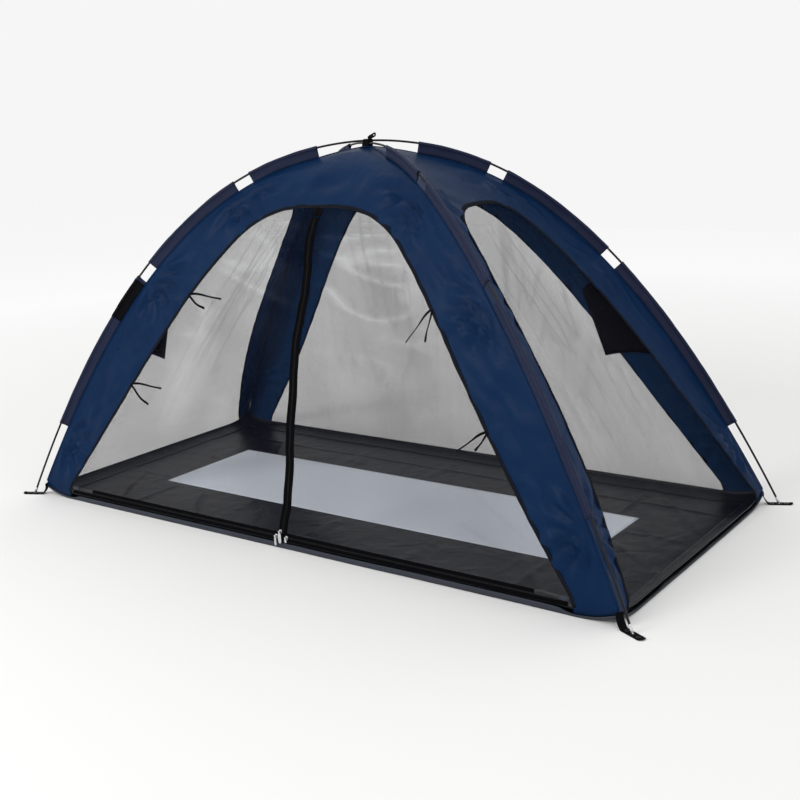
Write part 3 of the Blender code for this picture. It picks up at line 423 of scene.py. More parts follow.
def mixed(tree, factor, low, high):
    """Colour between two colours by a factor."""
    ends = [end if isinstance(end, bpy.types.NodeSocket) else (*end, 1) for end in (low, high)]
    inputs = {"Factor": factor, **dict(zip(MIX_COLOURS, ends))}
    return node(tree, "ShaderNodeMix", inputs, data_type="RGBA").outputs[2]


def cloud(tree, scale, detail=3.0, distortion=0.0):
    place = node(tree, "ShaderNodeTexCoord").outputs["Object"]
    inputs = {"Vector": place, "Scale": scale, "Detail": detail, "Distortion": distortion}
    return node(tree, "ShaderNodeTexNoise", inputs).outputs["Fac"]


def cloth_map(tree):
    """Metres along the cloth and across it."""
    place = node(tree, "ShaderNodeTexCoord").outputs["UV"]
    return node(tree, "ShaderNodeSeparateXYZ", {0: place}).outputs


def threads(tree, period, axis):
    """Height of the threads across one direction of the cloth, 0 to 1."""
    wave = math_node(tree, "SINE", math_node(tree, "MULTIPLY", cloth_map(tree)[axis], 2 * pi / period))
    return math_node(tree, "MULTIPLY_ADD", wave, 0.5, 0.5)


def add_bump(tree, shader, *layers):
    """Bump from (height, strength, distance) layers, one over the other."""
    below = {}
    for height, strength, distance in layers:
        inputs = {"Height": height, "Strength": strength, "Distance": distance, **below}
        below = {"Normal": node(tree, "ShaderNodeBump", inputs).outputs["Normal"]}
    plug(shader, below)


def cloth_material(name, dark, light, roughness, sheen=0.0, gloss=0.12, weave=0.0007, crease=0.5):
    """Plain weave, with soft creases and a slightly uneven dye."""
    material, tree, shader = new_material(name)
    dye = cloud(tree, 5.0, detail=4.0, distortion=0.4)
    plug(shader, {"Base Color": mixed(tree, dye, dark, light), "Roughness": roughness,
                  "Specular IOR Level": gloss, "Sheen Weight": sheen, "Sheen Roughness": 0.4})
    plain = math_node(tree, "MULTIPLY", threads(tree, weave, 0), threads(tree, weave, 1))
    creased = cloud(tree, 14.0, detail=5.0, distortion=0.8)
    add_bump(tree, shader, (creased, crease, 0.004), (plain, 0.15, weave / 4))
    return material


STITCH_HALF = 0.0004
STITCH_LENGTH = 0.0036
STITCH_COLOUR = (0.028, 0.028, 0.032)


def tape_material(name, dark, light, rib=0.0012, stitch=0.0):
    """Woven tape with ribs across it and, where asked, a row of stitches along either edge."""
    material, tree, shader = new_material(name)
    height = ribs = threads(tree, rib, 0)
    shade = math_node(tree, "MULTIPLY_ADD", ribs, 0.5, math_node(tree, "MULTIPLY", cloud(tree, 40.0), 0.5))
    colour = mixed(tree, shade, dark, light)
    if stitch:
        edge = math_node(tree, "SUBTRACT", math_node(tree, "ABSOLUTE", cloth_map(tree)[1]), stitch)
        near = math_node(tree, "LESS_THAN", math_node(tree, "ABSOLUTE", edge), STITCH_HALF)
        dash = math_node(tree, "GREATER_THAN", threads(tree, STITCH_LENGTH, 0), 0.3)
        stitches = math_node(tree, "MULTIPLY", near, dash)
        colour = mixed(tree, stitches, colour, STITCH_COLOUR)
        height = math_node(tree, "ADD", ribs, stitches)
    plug(shader, {"Base Color": colour, "Roughness": 0.75, "Specular IOR Level": 0.025})
    add_bump(tree, shader, (height, 0.3, 0.0003))
    return material


NET_PERIOD = 0.0017
NET_THREAD = 0.15
NET_HAZE = 0.15
NET_COVER = 0.45
FOLD_COVER = 0.20


def net_material(name, colour, lit):
    """Open mesh of fine threads with clear holes; slack folds thin it, and their paler colour is a painted
    highlight.
    """
    material, tree, shader = new_material(name)
    lines = [math_node(tree, "GREATER_THAN", threads(tree, NET_PERIOD, axis), 1 - NET_THREAD)
             for axis in (0, 1)]
    fold = node(tree, "ShaderNodeAttribute", attribute_name="fold").outputs["Fac"]
    closed = math_node(tree, "MULTIPLY_ADD", math_node(tree, "MAXIMUM", *lines), NET_COVER, NET_HAZE)
    # Painted highlight: the further a fold stands above 0, the paler the threads.
    painted_highlight = math_node(tree, "POWER", math_node(tree, "MAXIMUM", fold, 0.0), 1.5)
    plug(shader, {"Alpha": math_node(tree, "MULTIPLY_ADD", fold, -FOLD_COVER, closed),
                  "Base Color": mixed(tree, painted_highlight, colour, lit),
                  "Roughness": 0.65, "Specular IOR Level": 0.02})
    return material


def metal_material(name, colour, roughness):
    material, tree, shader = new_material(name)
    wear = cloud(tree, 220.0, detail=4.0)
    plug(shader, {"Base Color": mixed(tree, wear, [c * 0.85 for c in colour], colour), "Metallic": 1.0,
                  "Roughness": math_node(tree, "MULTIPLY_ADD", wear, 0.15, roughness - 0.07)})
    add_bump(tree, shader, (wear, 0.1, 0.0002))
    return material


def rod_material(name, dark, light):
    material, tree, shader = new_material(name)
    grain = cloud(tree, 90.0)
    plug(shader, {"Base Color": mixed(tree, grain, dark, light),
                  "Roughness": 0.35, "Specular IOR Level": 0.20})
    add_bump(tree, shader, (grain, 0.15, 0.0002))
    return material


NAVY = cloth_material("navy_polyester", (0.0014, 0.0115, 0.043), (0.0036, 0.0210, 0.066), 0.40,
                      gloss=0.055, crease=1.0)
# Paler copy of the navy for the cloth's inner face: painted light that brightens the dim inside of the tent.
NAVY_INSIDE_PAINTED_LIGHT = cloth_material("navy_inside_painted_light", (0.0040, 0.0300, 0.088), (0.0075, 0.0400, 0.115), 0.50,
                             gloss=0.05)
SLATE = cloth_material("slate_polyester", (0.0100, 0.0140, 0.0350), (0.0190, 0.0240, 0.0530), 0.45,
                       sheen=0.02, gloss=0.08)
FLOOR_DARK = cloth_material("floor_charcoal", (0.0022, 0.0034, 0.0052), (0.0058, 0.0078, 0.0108), 0.38,
                            gloss=0.24, crease=1.0)
FLOOR_LIGHT = cloth_material("floor_light_grey", (0.82, 0.87, 0.97), (0.86, 0.91, 0.99), 0.6,
                             sheen=0.05, crease=0.35)
HEM = cloth_material("hem_blue_grey", (0.026, 0.030, 0.041), (0.046, 0.051, 0.065), 0.6)
BLACK = tape_material("black_webbing", (0.0022, 0.0022, 0.0030), (0.0065, 0.0065, 0.0080))
BINDING = tape_material("black_binding", (0.003, 0.0035, 0.006), (0.010, 0.012, 0.018), stitch=0.0031)
ZIP_TAPE = tape_material("zip_tape", (0.0009, 0.0009, 0.0014), (0.0028, 0.0028, 0.0038),
                         rib=0.0009, stitch=0.0105)
COIL = tape_material("zip_coil", (0.0015, 0.0015, 0.0015), (0.020, 0.020, 0.021), rib=0.0016)
# The second colour is the painted highlight on the net's folds.
NET = net_material("black_mesh", (0.0070, 0.0070, 0.0130), (0.080, 0.082, 0.098))
METAL = metal_material("bright_steel", (0.78, 0.78, 0.79), 0.28)
DARK_METAL = metal_material("blackened_brass", (0.055, 0.055, 0.060), 0.32)
ROD = rod_material("black_fibreglass", (0.003, 0.003, 0.0035), (0.008, 0.008, 0.009))


# Mesh helpers

ROUNDED_BELOW = radians(40)


def link_mesh(name, vertices, faces, material, uvs=None):
    mesh = bpy.data.meshes.new(name)
    mesh.from_pydata([tuple(v) for v in vertices], [], faces)
    if uvs:
        layer = mesh.uv_layers.new(name="UVMap")
        for loop in mesh.loops:
            layer.data[loop.index].uv = uvs[loop.vertex_index]
    mesh.shade_smooth()
    obj = bpy.data.objects.new(name, mesh)
    bpy.context.scene.collection.objects.link(obj)
    obj.data.materials.append(material)
    return obj


def grid(name, rows, material, thickness=0.0, uvs=None, closed=False):
    """A surface through rows of points, with map coordinates in metres of cloth."""
    count = len(rows[0])
    faces = []
    for a in range(0, (len(rows) - 1) * count, count):
        for j in range(count if closed else count - 1):
            k = (j + 1) % count
            faces.append((a + j, a + k, a + k + count, a + j + count))
    obj = link_mesh(name, [p for row in rows for p in row], faces, material, uvs or metric_map(rows))
    if thickness:
        modifier = obj.modifiers.new("thickness", "SOLIDIFY")
        modifier.thickness = thickness
        modifier.offset = 0
    return obj


def metric_map(rows):
    """Length along the rows' middles, and length across each row from its middle."""
    uvs, travelled = [], 0.0
    middle = len(rows[0]) // 2
    for row, last in zip(rows, rows[:1] + rows):
        travelled += (row[middle] - last[middle]).length
        marks = list(accumulate(((b - a).length for a, b in zip(row, row[1:])), initial=0.0))
        uvs += [(travelled, mark - marks[-1] / 2) for mark in marks]
    return uvs


def flat_map(rows):
    return [(p.x, p.y) for row in rows for p in row]


def circle(sides):
    """Cosine and sine round a circle."""
    return [(cos(2 * pi * i / sides), sin(2 * pi * i / sides)) for i in range(sides)]


def tube(name, radii, frames, material, sides=14):
    """A turned solid along frames: one radius for each frame, closed at both ends."""
    rows = [[point + sideways * (radius * c) + outward * (radius * s) for c, s in circle(sides)]
            for (point, _, sideways, outward), radius in zip(frames, radii)]
    obj = grid(name, rows, material, closed=True)
    bm = bmesh.new()
    bm.from_mesh(obj.data)
    bm.verts.ensure_lookup_table()
    bm.faces.new(bm.verts[:sides])
    bm.faces.new(bm.verts[-sides:])
    bmesh.ops.recalc_face_normals(bm, faces=bm.faces)
    bm.to_mesh(obj.data)
    bm.free()
    obj.data.shade_smooth()
    obj.data.set_sharp_from_angle(angle=ROUNDED_BELOW)
    return obj


def turned(name, profile, centre, material, sides=28):
    """A closed ring turned about an upright axis from a closed (radius, height) outline."""
    vertices, faces = [], []
    count = len(profile)
    for i, (c, s) in enumerate(circle(sides)):
        vertices += [centre + Vector((c * r, s * r, z)) for r, z in profile]
        a, b = i * count, (i + 1) % sides * count
        faces += [(a + k, a + (k + 1) % count, b + (k + 1) % count, b + k) for k in range(count)]
    obj = link_mesh(name, vertices, faces, material)
    obj.data.set_sharp_from_angle(angle=ROUNDED_BELOW)
    return obj


# Attaching pieces to bodies and hiding the CAD nodes they replace


def dress(piece, nodes=(), body="tent"):
    """Body and the CAD nodes that the piece stands for."""
    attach(piece, body)
    if nodes:
        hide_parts(*nodes)
    return piece


def sew(name, rows, material, thickness, nodes=(), body="tent", sheet=(), **how):
    """A finished strip or sheet. The sheet argument, how it is held, what it rests on and its cut length, is
    not used.
    """
    piece = dress(grid(name, rows, material, thickness, **how), nodes, body)
    return piece


# Borders and bindings. Relief: heights of the creases, the folds and those drawn up by the sleeves' gaps

CLOTH = 0.0008
THIN_CLOTH = 0.0006
POLES = ["pole_rods_a", "pole_rods_b"]
BORDER_CUT = 2.6
BORDER_ROWS = 160
BORDER_COLUMNS = 20
BORDER_SEAM_GAP = 0.0008
TURN_RISE = 0.01
SKIRT = 0.014
SIDE_RELIEF = (0.0035, 0.0110, 0.0105)
END_RELIEF = (0.0015, 0.0045, 0.0042)
BORDER_LAYERS = ((1, 0.12, 8, 3, 0.45), (2.2, 0.5, 7, 5, 0.75))
FOOT_REACH = 0.08
FOOT_ROWS = 8
SLEEVE_GAP_SHARES = (0.320, 0.598, 0.905)
DRAWN_LINES = 13
DRAWN_REACH = 0.065
DRAWN_SPREAD = 0.060
PUCKER = 0.0038
PUCKER_LAYERS = ((1, 1, 9, 0, 0.6), (1, 1, 31, 4, 0.4))
PUCKER_FADE_SHARE = 0.28
BINDING_HALF = 0.0049
BINDING_THICKNESS = 0.0007
BINDING_LIFT = 0.0009
BINDING_CROWN = 0.0007
BINDING_SWAY = 0.0016
BINDING_STEPS = 260
BINDING_FOOT_STEPS = 14
STITCH_PUCKER = 0.0003
STITCH_STEPS = 5.3


def border_rows(wall):
    """Pairs of places on the window's edge and on the seam, from the left foot over the top to the right."""
    inner = wall.window_outline(HEM_TOP, BORDER_ROWS, -SEWN_OVERLAP)
    middle = BORDER_ROWS // 2
    turn = next(i for i, place in enumerate(inner) if place[1] > wall.corner)
    turn_height = inner[turn][1]
    turn_share = seam_share(turn_height + TURN_RISE)
    pairs = []
    for i, place in enumerate(inner):
        k = min(i, BORDER_ROWS - i)
        if k < turn:
            up = (inner[k][1] - HEM_TOP) / (turn_height - HEM_TOP)
            q = min(seam_share(CORNER_POINT.y + (seam(turn_share)[2] - CORNER_POINT.y) * up), SEAM_END)
        else:
            q = turn_share + (CROWN_SHARE - turn_share) * (k - turn) / (middle - turn)
        reach, height = wall.seam_reach(q)
        side = (i > middle) - (i < middle)
        pairs.append((place, (side * (reach - BORDER_SEAM_GAP), height)))
    return pairs


def drawn_folds(wall, across, height):
    """Folds that fan out of the cloth from where a gap between two sleeves draws it up."""
    total = 0.0
    for gap in SLEEVE_GAP_SHARES:
        reach, top = wall.seam_reach(gap)
        run, fall = reach - abs(across), top - height
        fan = cos(atan2(fall, run) * DRAWN_LINES + gap * 9)
        total += fan * exp(-((hypot(run, fall) - DRAWN_REACH) / DRAWN_SPREAD) ** 2)
    return total


def edge_pucker(s, seed):
    """How far the stitching lifts the cloth along the window's edge, s metres from its left foot."""
    return PUCKER * rumple(s, seed, PUCKER_LAYERS, seed) * (0.6 + wrinkle(s, 0.0, 3, seed + 1))


def paint_inside_lighter(piece, wall):
    """Gives the side of the cloth that faces into the tent a paler copy of the navy: painted light for the
    dim inside of the tent.
    """
    piece.data.materials.append(NAVY_INSIDE_PAINTED_LIGHT)
    if sum(face.normal.dot(wall.out) for face in piece.data.polygons) < 0:
        piece.data.flip_normals()
    piece.modifiers["thickness"].material_offset = 1


def border_panel(wall, seed):
    """Cloth border: from the window's edge out to the two seams, drawn in by its stitching."""
    creased, folded, drawn = SIDE_RELIEF if wall.long else END_RELIEF
    rows = []
    s = 0.0
    pairs = border_rows(wall)
    for i, (inner, outer) in enumerate(pairs):
        last = pairs[max(i - 1, 0)][0]
        s += hypot(inner[0] - last[0], inner[1] - last[1])
        free = min(min(i, BORDER_ROWS - i) / FOOT_ROWS, 1)
        low = max(1 - (inner[1] - HEM_TOP) / FOOT_REACH, 0)
        row = []
        for w in between(0, 1, BORDER_COLUMNS):
            a = inner[0] + (outer[0] - inner[0]) * w
            h = inner[1] + (outer[1] - inner[1]) * w
            h += (corner_lift(wall.half - abs(a)) - CORNER_LIFT * w) * low
            crease = ridge(wrinkle(s * 1.5 + w * 0.15, w * 0.4, 6, seed + 8), 5.0)
            lift = edge_pucker(s, seed) * exp(-w / PUCKER_FADE_SHARE) + creased * crease * sin(pi * w)
            lift += folded * rumple(s, w, BORDER_LAYERS, seed) * sin(pi * min(w + 0.06, 1))
            lift += drawn * drawn_folds(wall, a, h) * min((1 - w) * 3, 1)
            row.append(crown_rise(wall.point(h, a, lift * free)))
        rows.append(row)
    skirts = [[place - UP * SKIRT for place in row] for row in (rows[0], rows[-1])]
    piece = grid(wall.name + "_border", [skirts[0]] + rows + [skirts[1]], NAVY, CLOTH)
    paint_inside_lighter(piece, wall)
    dress(piece, [wall.name + "_panel"])


def window_binding(wall, seed):
    """Folded tape round the window's edge, slightly puckered by its stitches."""
    line = wall.window_outline(HEM_TOP, BINDING_STEPS)
    rows = []
    s = 0.0
    for i, (a, h) in enumerate(line):
        before, after = line[max(i - 1, 0)], line[min(i + 1, BINDING_STEPS)]
        s += hypot(a - before[0], h - before[1])
        free = min(min(i, BINDING_STEPS - i) / BINDING_FOOT_STEPS, 1)
        lift = BINDING_LIFT + edge_pucker(s, seed) * free
        sway = BINDING_SWAY * wrinkle(s, seed, 22.0, seed + 2) * free
        run = Vector((after[0] - before[0], after[1] - before[1])).normalized()
        row = []
        for w in between(-1, 1, 6):
            d = BINDING_HALF * w + sway
            rise = BINDING_CROWN * (1 - w ** 2) + STITCH_PUCKER * sin(2 * pi * i / STITCH_STEPS) * w
            row.append(wall.point(max(h + run.x * d, HEM_TOP), a - run.y * d, lift + rise))
        rows.append(row)
    sew(wall.name + "_binding", rows, BINDING, BINDING_THICKNESS, [wall.name + "_window_binding"],
        sheet=("stretched", [wall.name + "_border"], BORDER_CUT))


# Nets

NET_SINK = 0.0006
NET_DRAPE = 0.006
FOLD_DEPTH = 0.0040
NET_TOP_REACH = 0.03
NET_TOP_RISE = 0.0298
NET_TOP_ROWS = 10
WINDOW_NET_STEPS = (110, 140)
DOOR_NET_STEPS = (120, 90)
CREASE_REACH = 0.80
CREASE_TOP = 0.897
NET_UNDER_TAPE = 0.004
NET_BELOW_SILL = 0.002


def fan_from_corner(wall, across, height, count, spread):
    """Fold lines that fan out from a wall's nearer foot corner."""
    rise, run = height - HEM_TOP, wall.half - abs(across)
    return ridge(sin(atan2(rise, run) * count + wall.half), 2.2) * exp(-(hypot(rise, run) / spread) ** 2)


def end_folds(wall, across, height, seed):
    """Folds of an end or back net: above 0 thinner and with a painted highlight, below 0 denser and darker;
    upright, and fanning from the corners.
    """
    broad = wrinkle(across * 1.6 + 0.3 * height, height * 0.5, 5.0, seed)
    upright = -ridge(wrinkle(across * 2.2 - height * 0.3, height * 0.35, 9.0, seed + 3), 9.0)
    above = ramp(height, 0.15, 0.85)
    fan = fan_from_corner(wall, across, height, 11, 0.22)
    return broad * 0.45 + upright * (0.15 + 0.6 * above) + 0.8 * fan


def door_folds(wall, across, height, seed):
    """Folds of the door: above 0 thinner and with a painted highlight, below 0 denser and darker; sweeping
    across above, fanning from the corners.
    """
    sweep = height + 0.16 * across - 0.30 * across * across
    bands = wrinkle(across * 0.45, sweep * 2.6, 5.0, seed)
    bright = ridge(wrinkle(across * 0.6, sweep * 2.8, 6.0, seed + 3), 4.5) ** 2
    broad = wrinkle(across * 1.3, height * 1.3, 4.0, seed + 9) * 0.35 - 0.5 * across
    above = ramp(height, 0.45, 0.65)
    return (bands * 0.6 + bright * 0.9) * above + broad - fan_from_corner(wall, across, height, 17, 0.32)


def slack_net(name, wall, foot, steps, place, folds, seed):
    """Slack net, with rows closer together under the window's rounded top. Each point keeps how sharply it is
    folded, which the net's material turns into thinning and a painted highlight. place gives a point's
    distance across, and its freedom from 0 to 1, by height and share."""
    corner = wall.top - NET_TOP_REACH
    heights = between(foot, corner, steps[0])[:-1]
    heights += [corner + NET_TOP_RISE * sin(pi / 2 * share) for share in between(0, 1, NET_TOP_ROWS)]
    rows, marks = [], []
    for height in heights:
        row = []
        for share in between(0, 1, steps[1]):
            across, free = place(height, share)
            fold = max(min(folds(wall, across, height, seed) * free, 1), -1)
            drape = wrinkle(across, height * 0.6, 5.0, seed + 7) * NET_DRAPE * free + fold * FOLD_DEPTH
            row.append(wall.point(height, across, drape - NET_SINK))
            marks.append(fold)
        rows.append(row)
    piece = grid(name, rows, NET)
    layer = piece.data.attributes.new("fold", "FLOAT", "POINT")
    layer.data.foreach_set("value", marks)
    piece.visible_shadow = False
    return piece


def window_net(wall, seed):
    def place(height, share):
        out = 2 * share - 1
        free = (1 - out ** 6) * min((wall.top - height) * 10, 1) * min((height - HEM_TOP) * 14, 1)
        return (wall.window_half(height) + SEWN_OVERLAP) * out, max(free, 0)

    piece = slack_net(wall.name + "_mesh", wall, HEM_TOP, WINDOW_NET_STEPS, place, end_folds, seed)
    dress(piece, [wall.name + "_net"])


def blend_at_crease(piece, side):
    """Works out the line that the leaf turns on, and bakes the net's placement into its points."""
    foot = Vector((side * CREASE_REACH, -HALF_WIDTH, SILL_FOOT))
    top = FRONT.point(CREASE_TOP, 0)
    middle = (foot + top) / 2
    inwards = FRONT.point(middle.z, 0) - middle
    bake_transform(piece)


def door_net(side, seed):
    """Net from the window's edge to the upright zip, in one slack piece."""
    def place(height, share):
        outer = max(FRONT.window_half(height) + SEWN_OVERLAP, TAPE_HALF * 1.6)
        inner = TAPE_HALF - NET_UNDER_TAPE + side * zip_wave(height)
        free = min(sin(pi * share) * 1.6, 1) * min((height - SILL_TOP + 0.004) * 10, 1)
        free *= min(max(FRONT.top - height, 0) * 12, 1)
        return side * (outer + (inner - outer) * share), max(free, 0)

    name = SIDE_NAMES[side]
    foot = SILL_TOP - NET_BELOW_SILL
    piece = slack_net("door_mesh_" + name, FRONT, foot, DOOR_NET_STEPS, place, door_folds, seed)
    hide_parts("door_side_net_" + name, "door_leaf_" + name)
    blend_at_crease(piece, side)


# Zips

SILL_REACH = 0.782
SILL_FIXED = 0.848
SILL_OUTER = 0.872
SILL_GAP = 0.0006
SILL_STRIP_TOP = SILL_TOP - 0.0012
SILL_END_RUN = 0.015
SILL_END_BULGE = 0.0008
DOOR_TAPE_CUT = 0.89
SILL_TAPE_CUT = 0.77
ZIP_HEAD_CUT = 0.03
TAPE_GAP = 0.0003
TAPE_OUT = 0.0010
TAPE_CURLS = (0.0006, 0.0004)
HEAD_GAP = 0.0028
HEAD_BELOW_TOP = 0.003
HEAD_LIFT = 0.0009
COIL_PITCH = 0.0016
COIL_HALF = 0.0010
COIL_BULGES = (0.0007, 0.00105)
COIL_LIFT = 0.0005
COIL_APART = 0.0014
COIL_START = 0.004
COIL_ABOVE = 0.0017
COIL_BELOW = 0.0012


def on_centre(height, across):
    """Place as far out as the front wall's middle is at that height."""
    return FRONT.plane(across, height, FRONT.centre(height))


def sill_strip(start, end, steps, low, high):
    """Rows of a strip along the sill."""
    return [[on_centre(height, across) for height in between(low, high, 3)]
            for across in between(start, end, steps)]


def leaf_tape(side):
    """Upright zip tape on the leaf's free edge, which wanders, and its run along the sill."""
    name = SIDE_NAMES[side]
    low = SILL_FOOT + SILL_GAP
    rows = []
    for height in between(low, LEAF_TOP, 170):
        row = []
        for k in range(6):
            across = zip_wave(height) + side * (TAPE_GAP + (TAPE_HALF - TAPE_GAP) * k / 5)
            curl = TAPE_CURLS[0] * sin(height * 38 + k * 0.4) + TAPE_CURLS[1] * sin(height * 91)
            row.append(on_centre(height, across) + FORWARD * (TAPE_OUT + curl * min(k / 2, 1)))
        rows.append(row)
    net = ["door_mesh_" + name]
    sew("door_tape_" + name, rows, ZIP_TAPE, TAPE_THICKNESS, ["door_leaf_tape_" + name], name + "_leaf",
        ("hung", net, DOOR_TAPE_CUT))
    rows = sill_strip(side * TAPE_HALF, side * SILL_REACH, 80, low, SILL_STRIP_TOP)
    sew("sill_tape_upper_" + name, rows, ZIP_TAPE, TAPE_THICKNESS, (), name + "_leaf",
        ("stretched", net, SILL_TAPE_CUT))


def sill_tape():
    """Fixed lower tape of the sill zip with its raised ends."""
    rows = sill_strip(-SILL_OUTER, SILL_OUTER, 160, HEM_TOP, SILL_FOOT)
    sew("sill_tape_lower", rows, ZIP_TAPE, TAPE_THICKNESS, ["sill_zip_tape"],
        sheet=("stretched", ["hem_band"], 2 * SILL_OUTER))
    for side, name in SIDE_NAMES.items():
        rows = sill_strip(side * SILL_FIXED, side * SILL_OUTER, 12, SILL_FOOT, SILL_STRIP_TOP)
        for row in rows:
            for place in row:
                place.y -= SILL_END_BULGE if abs(place.x) > SILL_OUTER - SILL_END_RUN else 0
        sew("sill_zip_end_" + name, rows, HEM, TAPE_THICKNESS)


def zip_head():
    """Fixed top of the upright zip, under the binding."""
    rows = [[FRONT.point(height, zip_wave(height) + across, HEAD_LIFT)
             for across in between(-TAPE_HALF, TAPE_HALF, 8)]
            for height in between(LEAF_TOP + HEAD_GAP, SIDE_WINDOW_TOP - HEAD_BELOW_TOP, 6)]
    sew("door_zip_top", rows, ZIP_TAPE, TAPE_THICKNESS, sheet=("stretched", ["front_binding"], ZIP_HEAD_CUT))


def coil(name, body, line):
    """Zip coil: a low corrugated ridge along a line of (point, sideways, outward)."""
    rows = []
    for i, (point, sideways, outward) in enumerate(line):
        bulge = COIL_BULGES[i % 2]
        rows.append([point - sideways * (COIL_HALF * cos(angle)) + outward * (bulge * sin(angle) + COIL_LIFT)
                     for angle in between(0, pi, 4)])
    sew(name, rows, COIL, 0, (), body)


def pitches(start, end):
    """Places one coil apart, from the start on."""
    return [start + COIL_PITCH * i for i in range(int((end - start) / COIL_PITCH))]


def zip_coils():
    """Each half of the coil rides with its own tape."""
    for side, name in SIDE_NAMES.items():
        line = []
        for height in pitches(SILL_TOP, LEAF_TOP):
            point = on_centre(height, zip_wave(height) + side * COIL_APART) + FORWARD * TAPE_OUT
            line.append((point, Vector((1, 0, 0)), FRONT.normal(height, 0)))
        coil("door_coil_" + name, name + "_leaf", line)
        line = [(on_centre(SILL_FOOT + COIL_ABOVE, side * x), UP, FORWARD)
                for x in pitches(COIL_START, SILL_REACH)]
        coil("sill_coil_" + name, name + "_leaf", line)
    line = [(on_centre(SILL_FOOT - COIL_BELOW, x), UP, FORWARD) for x in pitches(-SILL_FIXED, SILL_FIXED)]
    coil("sill_coil_lower", "tent", line)


# Ties: name, side, height on the binding and the ends of both ribbons

TIES = (("upper_left", -1, 0.656, (0.301, 0.647), (0.361, 0.618)),
        ("lower_left", -1, 0.386, (0.497, 0.383), (0.547, 0.331)),
        ("upper_right", 1, 0.665, (0.357, 0.577), (0.415, 0.583)),
        ("lower_right", 1, 0.392, (0.542, 0.333), (0.595, 0.342)))
TIE_HALF = 0.0033
TIE_DROP = 0.003
TIE_STEPS = 24
TIE_SAGS = (0.016, -0.0096)
TIE_WAVE = 0.0015
TIE_LIFT = 0.0022
TIE_RISE = 0.0042
TIE_SWING = 0.0012


def door_ties():
    """Pairs of soft ribbons sewn to the binding, twisting and drooping clear of the net."""
    for name, side, height, first, second in TIES:
        for k, (end, drop) in enumerate(((first, 0.0), (second, TIE_DROP))):
            start = Vector((FRONT.window_half(height - drop) + SEWN_OVERLAP, height - drop))
            run = Vector(end) - start
            across = Vector((-run.y, run.x)).normalized()
            rows = []
            for t in between(0, 1, TIE_STEPS):
                place = start + run * t
                place.y += TIE_SAGS[k] * t * (1 - t) + TIE_WAVE * sin(7 * t + k)
                lift = TIE_LIFT + TIE_RISE * min(t * 3, 1) + TIE_SWING * sin(9 * t + 2 * k)
                twist = 0.9 * sin(2.2 * t + k) * min(t * 2, 1)
                row = []
                for d in (-TIE_HALF, 0, TIE_HALF):
                    x, z = place + across * (d * cos(twist))
                    row.append(FRONT.point(z, side * x, lift + d * sin(twist) * 0.6))
                rows.append(row)
            sew("door_tie_%s_%d" % (name, k + 1), rows, BLACK, THIN_CLOTH)


# Floor: the cloth keeps its packed folds, and its outer run curves up behind the hem

LIGHT_LENGTH = 1.49
LIGHT_WIDTH = 0.39
PACKED_LENGTH = 0.34
PACKED_WIDTH = 0.24
PACKED_OFFSET = 0.08
PACKED_RISE = 0.0036
SLANT_LENGTH = 0.37
SLANT_RISE = 0.0034
FLOOR_LAYERS = ((1, 1.5, 6.0, 11, 0.0026), (2, 1, 13.0, 12, 0.0013))
FLOOR_LIFT = 0.0006
FLOOR_EDGE = 0.0009
FLOOR_THICKNESS = 0.001
LIGHT_TUCK = 0.004
LIGHT_LIFT = 0.0016
LIGHT_RIPPLE = 0.0022
HEM_HEIGHT = 0.015
HEM_LOW = 0.006
HEM_CORNER = 0.125
HEM_TURN = 0.03
LONG_SIDE_BAND = 0.002
HEM_WAVE = 0.005
HEM_LIFT = 0.0001
HEM_ROLL = 0.0009
HEM_UNEVEN = 0.0005
HEM_CUT = 5.9
SIDE_CURVE = 0.045
SIDE_INSET = 0.0012
SIDE_SLACK = 0.0030
SIDE_OVERLAP = 0.001
SIDE_CUT = 5.7


def floor_rise(x, y):
    """Height of the slack floor cloth above the ground."""
    packed = max(ridge(sin(pi * x / PACKED_LENGTH), 9.0),
                 ridge(sin(pi * (y - PACKED_OFFSET) / PACKED_WIDTH), 9.0))
    slant = ridge(sin(pi * (x + y) / SLANT_LENGTH + wrinkle(x, y, 3.0, 16)), 7.0)
    slack = rumple(x, y, FLOOR_LAYERS) + PACKED_RISE * packed + SLANT_RISE * slant
    return FLOOR_LIFT + max(slack, 0) + floor_lift(x, y)


def rectangle(half_x, half_y, steps_x, steps_y):
    """Places round a rectangle, anticlockwise, closer together towards the corners."""
    places = []
    for dx, dy in ((1, 0), (0, 1), (-1, 0), (0, -1)):
        long_half, short_half, steps = (half_x, half_y, steps_x) if dx else (half_y, half_x, steps_y)
        for i in range(steps):
            across = -long_half * cos(pi * i / steps)
            places.append((dx * across + dy * short_half, dy * across - dx * short_half))
    return places


def floor_margin():
    half_x, half_y = HALF_LENGTH - FLOOR_EDGE, HALF_WIDTH - FLOOR_EDGE
    rows = []
    for step in between(0, 1, 40):
        share = step ** 0.8
        flat = 1 - ramp(share, 0.8, 1)
        row = []
        for x, y in rectangle(half_x, half_y, 150, 72):
            px = x + (x * (LIGHT_LENGTH / 2 - LIGHT_TUCK) / half_x - x) * share
            py = y + (y * (LIGHT_WIDTH / 2 - LIGHT_TUCK) / half_y - y) * share
            row.append(Vector((px, py, FLOOR_LIFT + (floor_rise(px, py) - FLOOR_LIFT) * flat)))
        rows.append(row)
    margin = sew("floor_margin_cloth", rows, FLOOR_DARK, FLOOR_THICKNESS, ["floor_margin"],
                 uvs=flat_map(rows), closed=True)


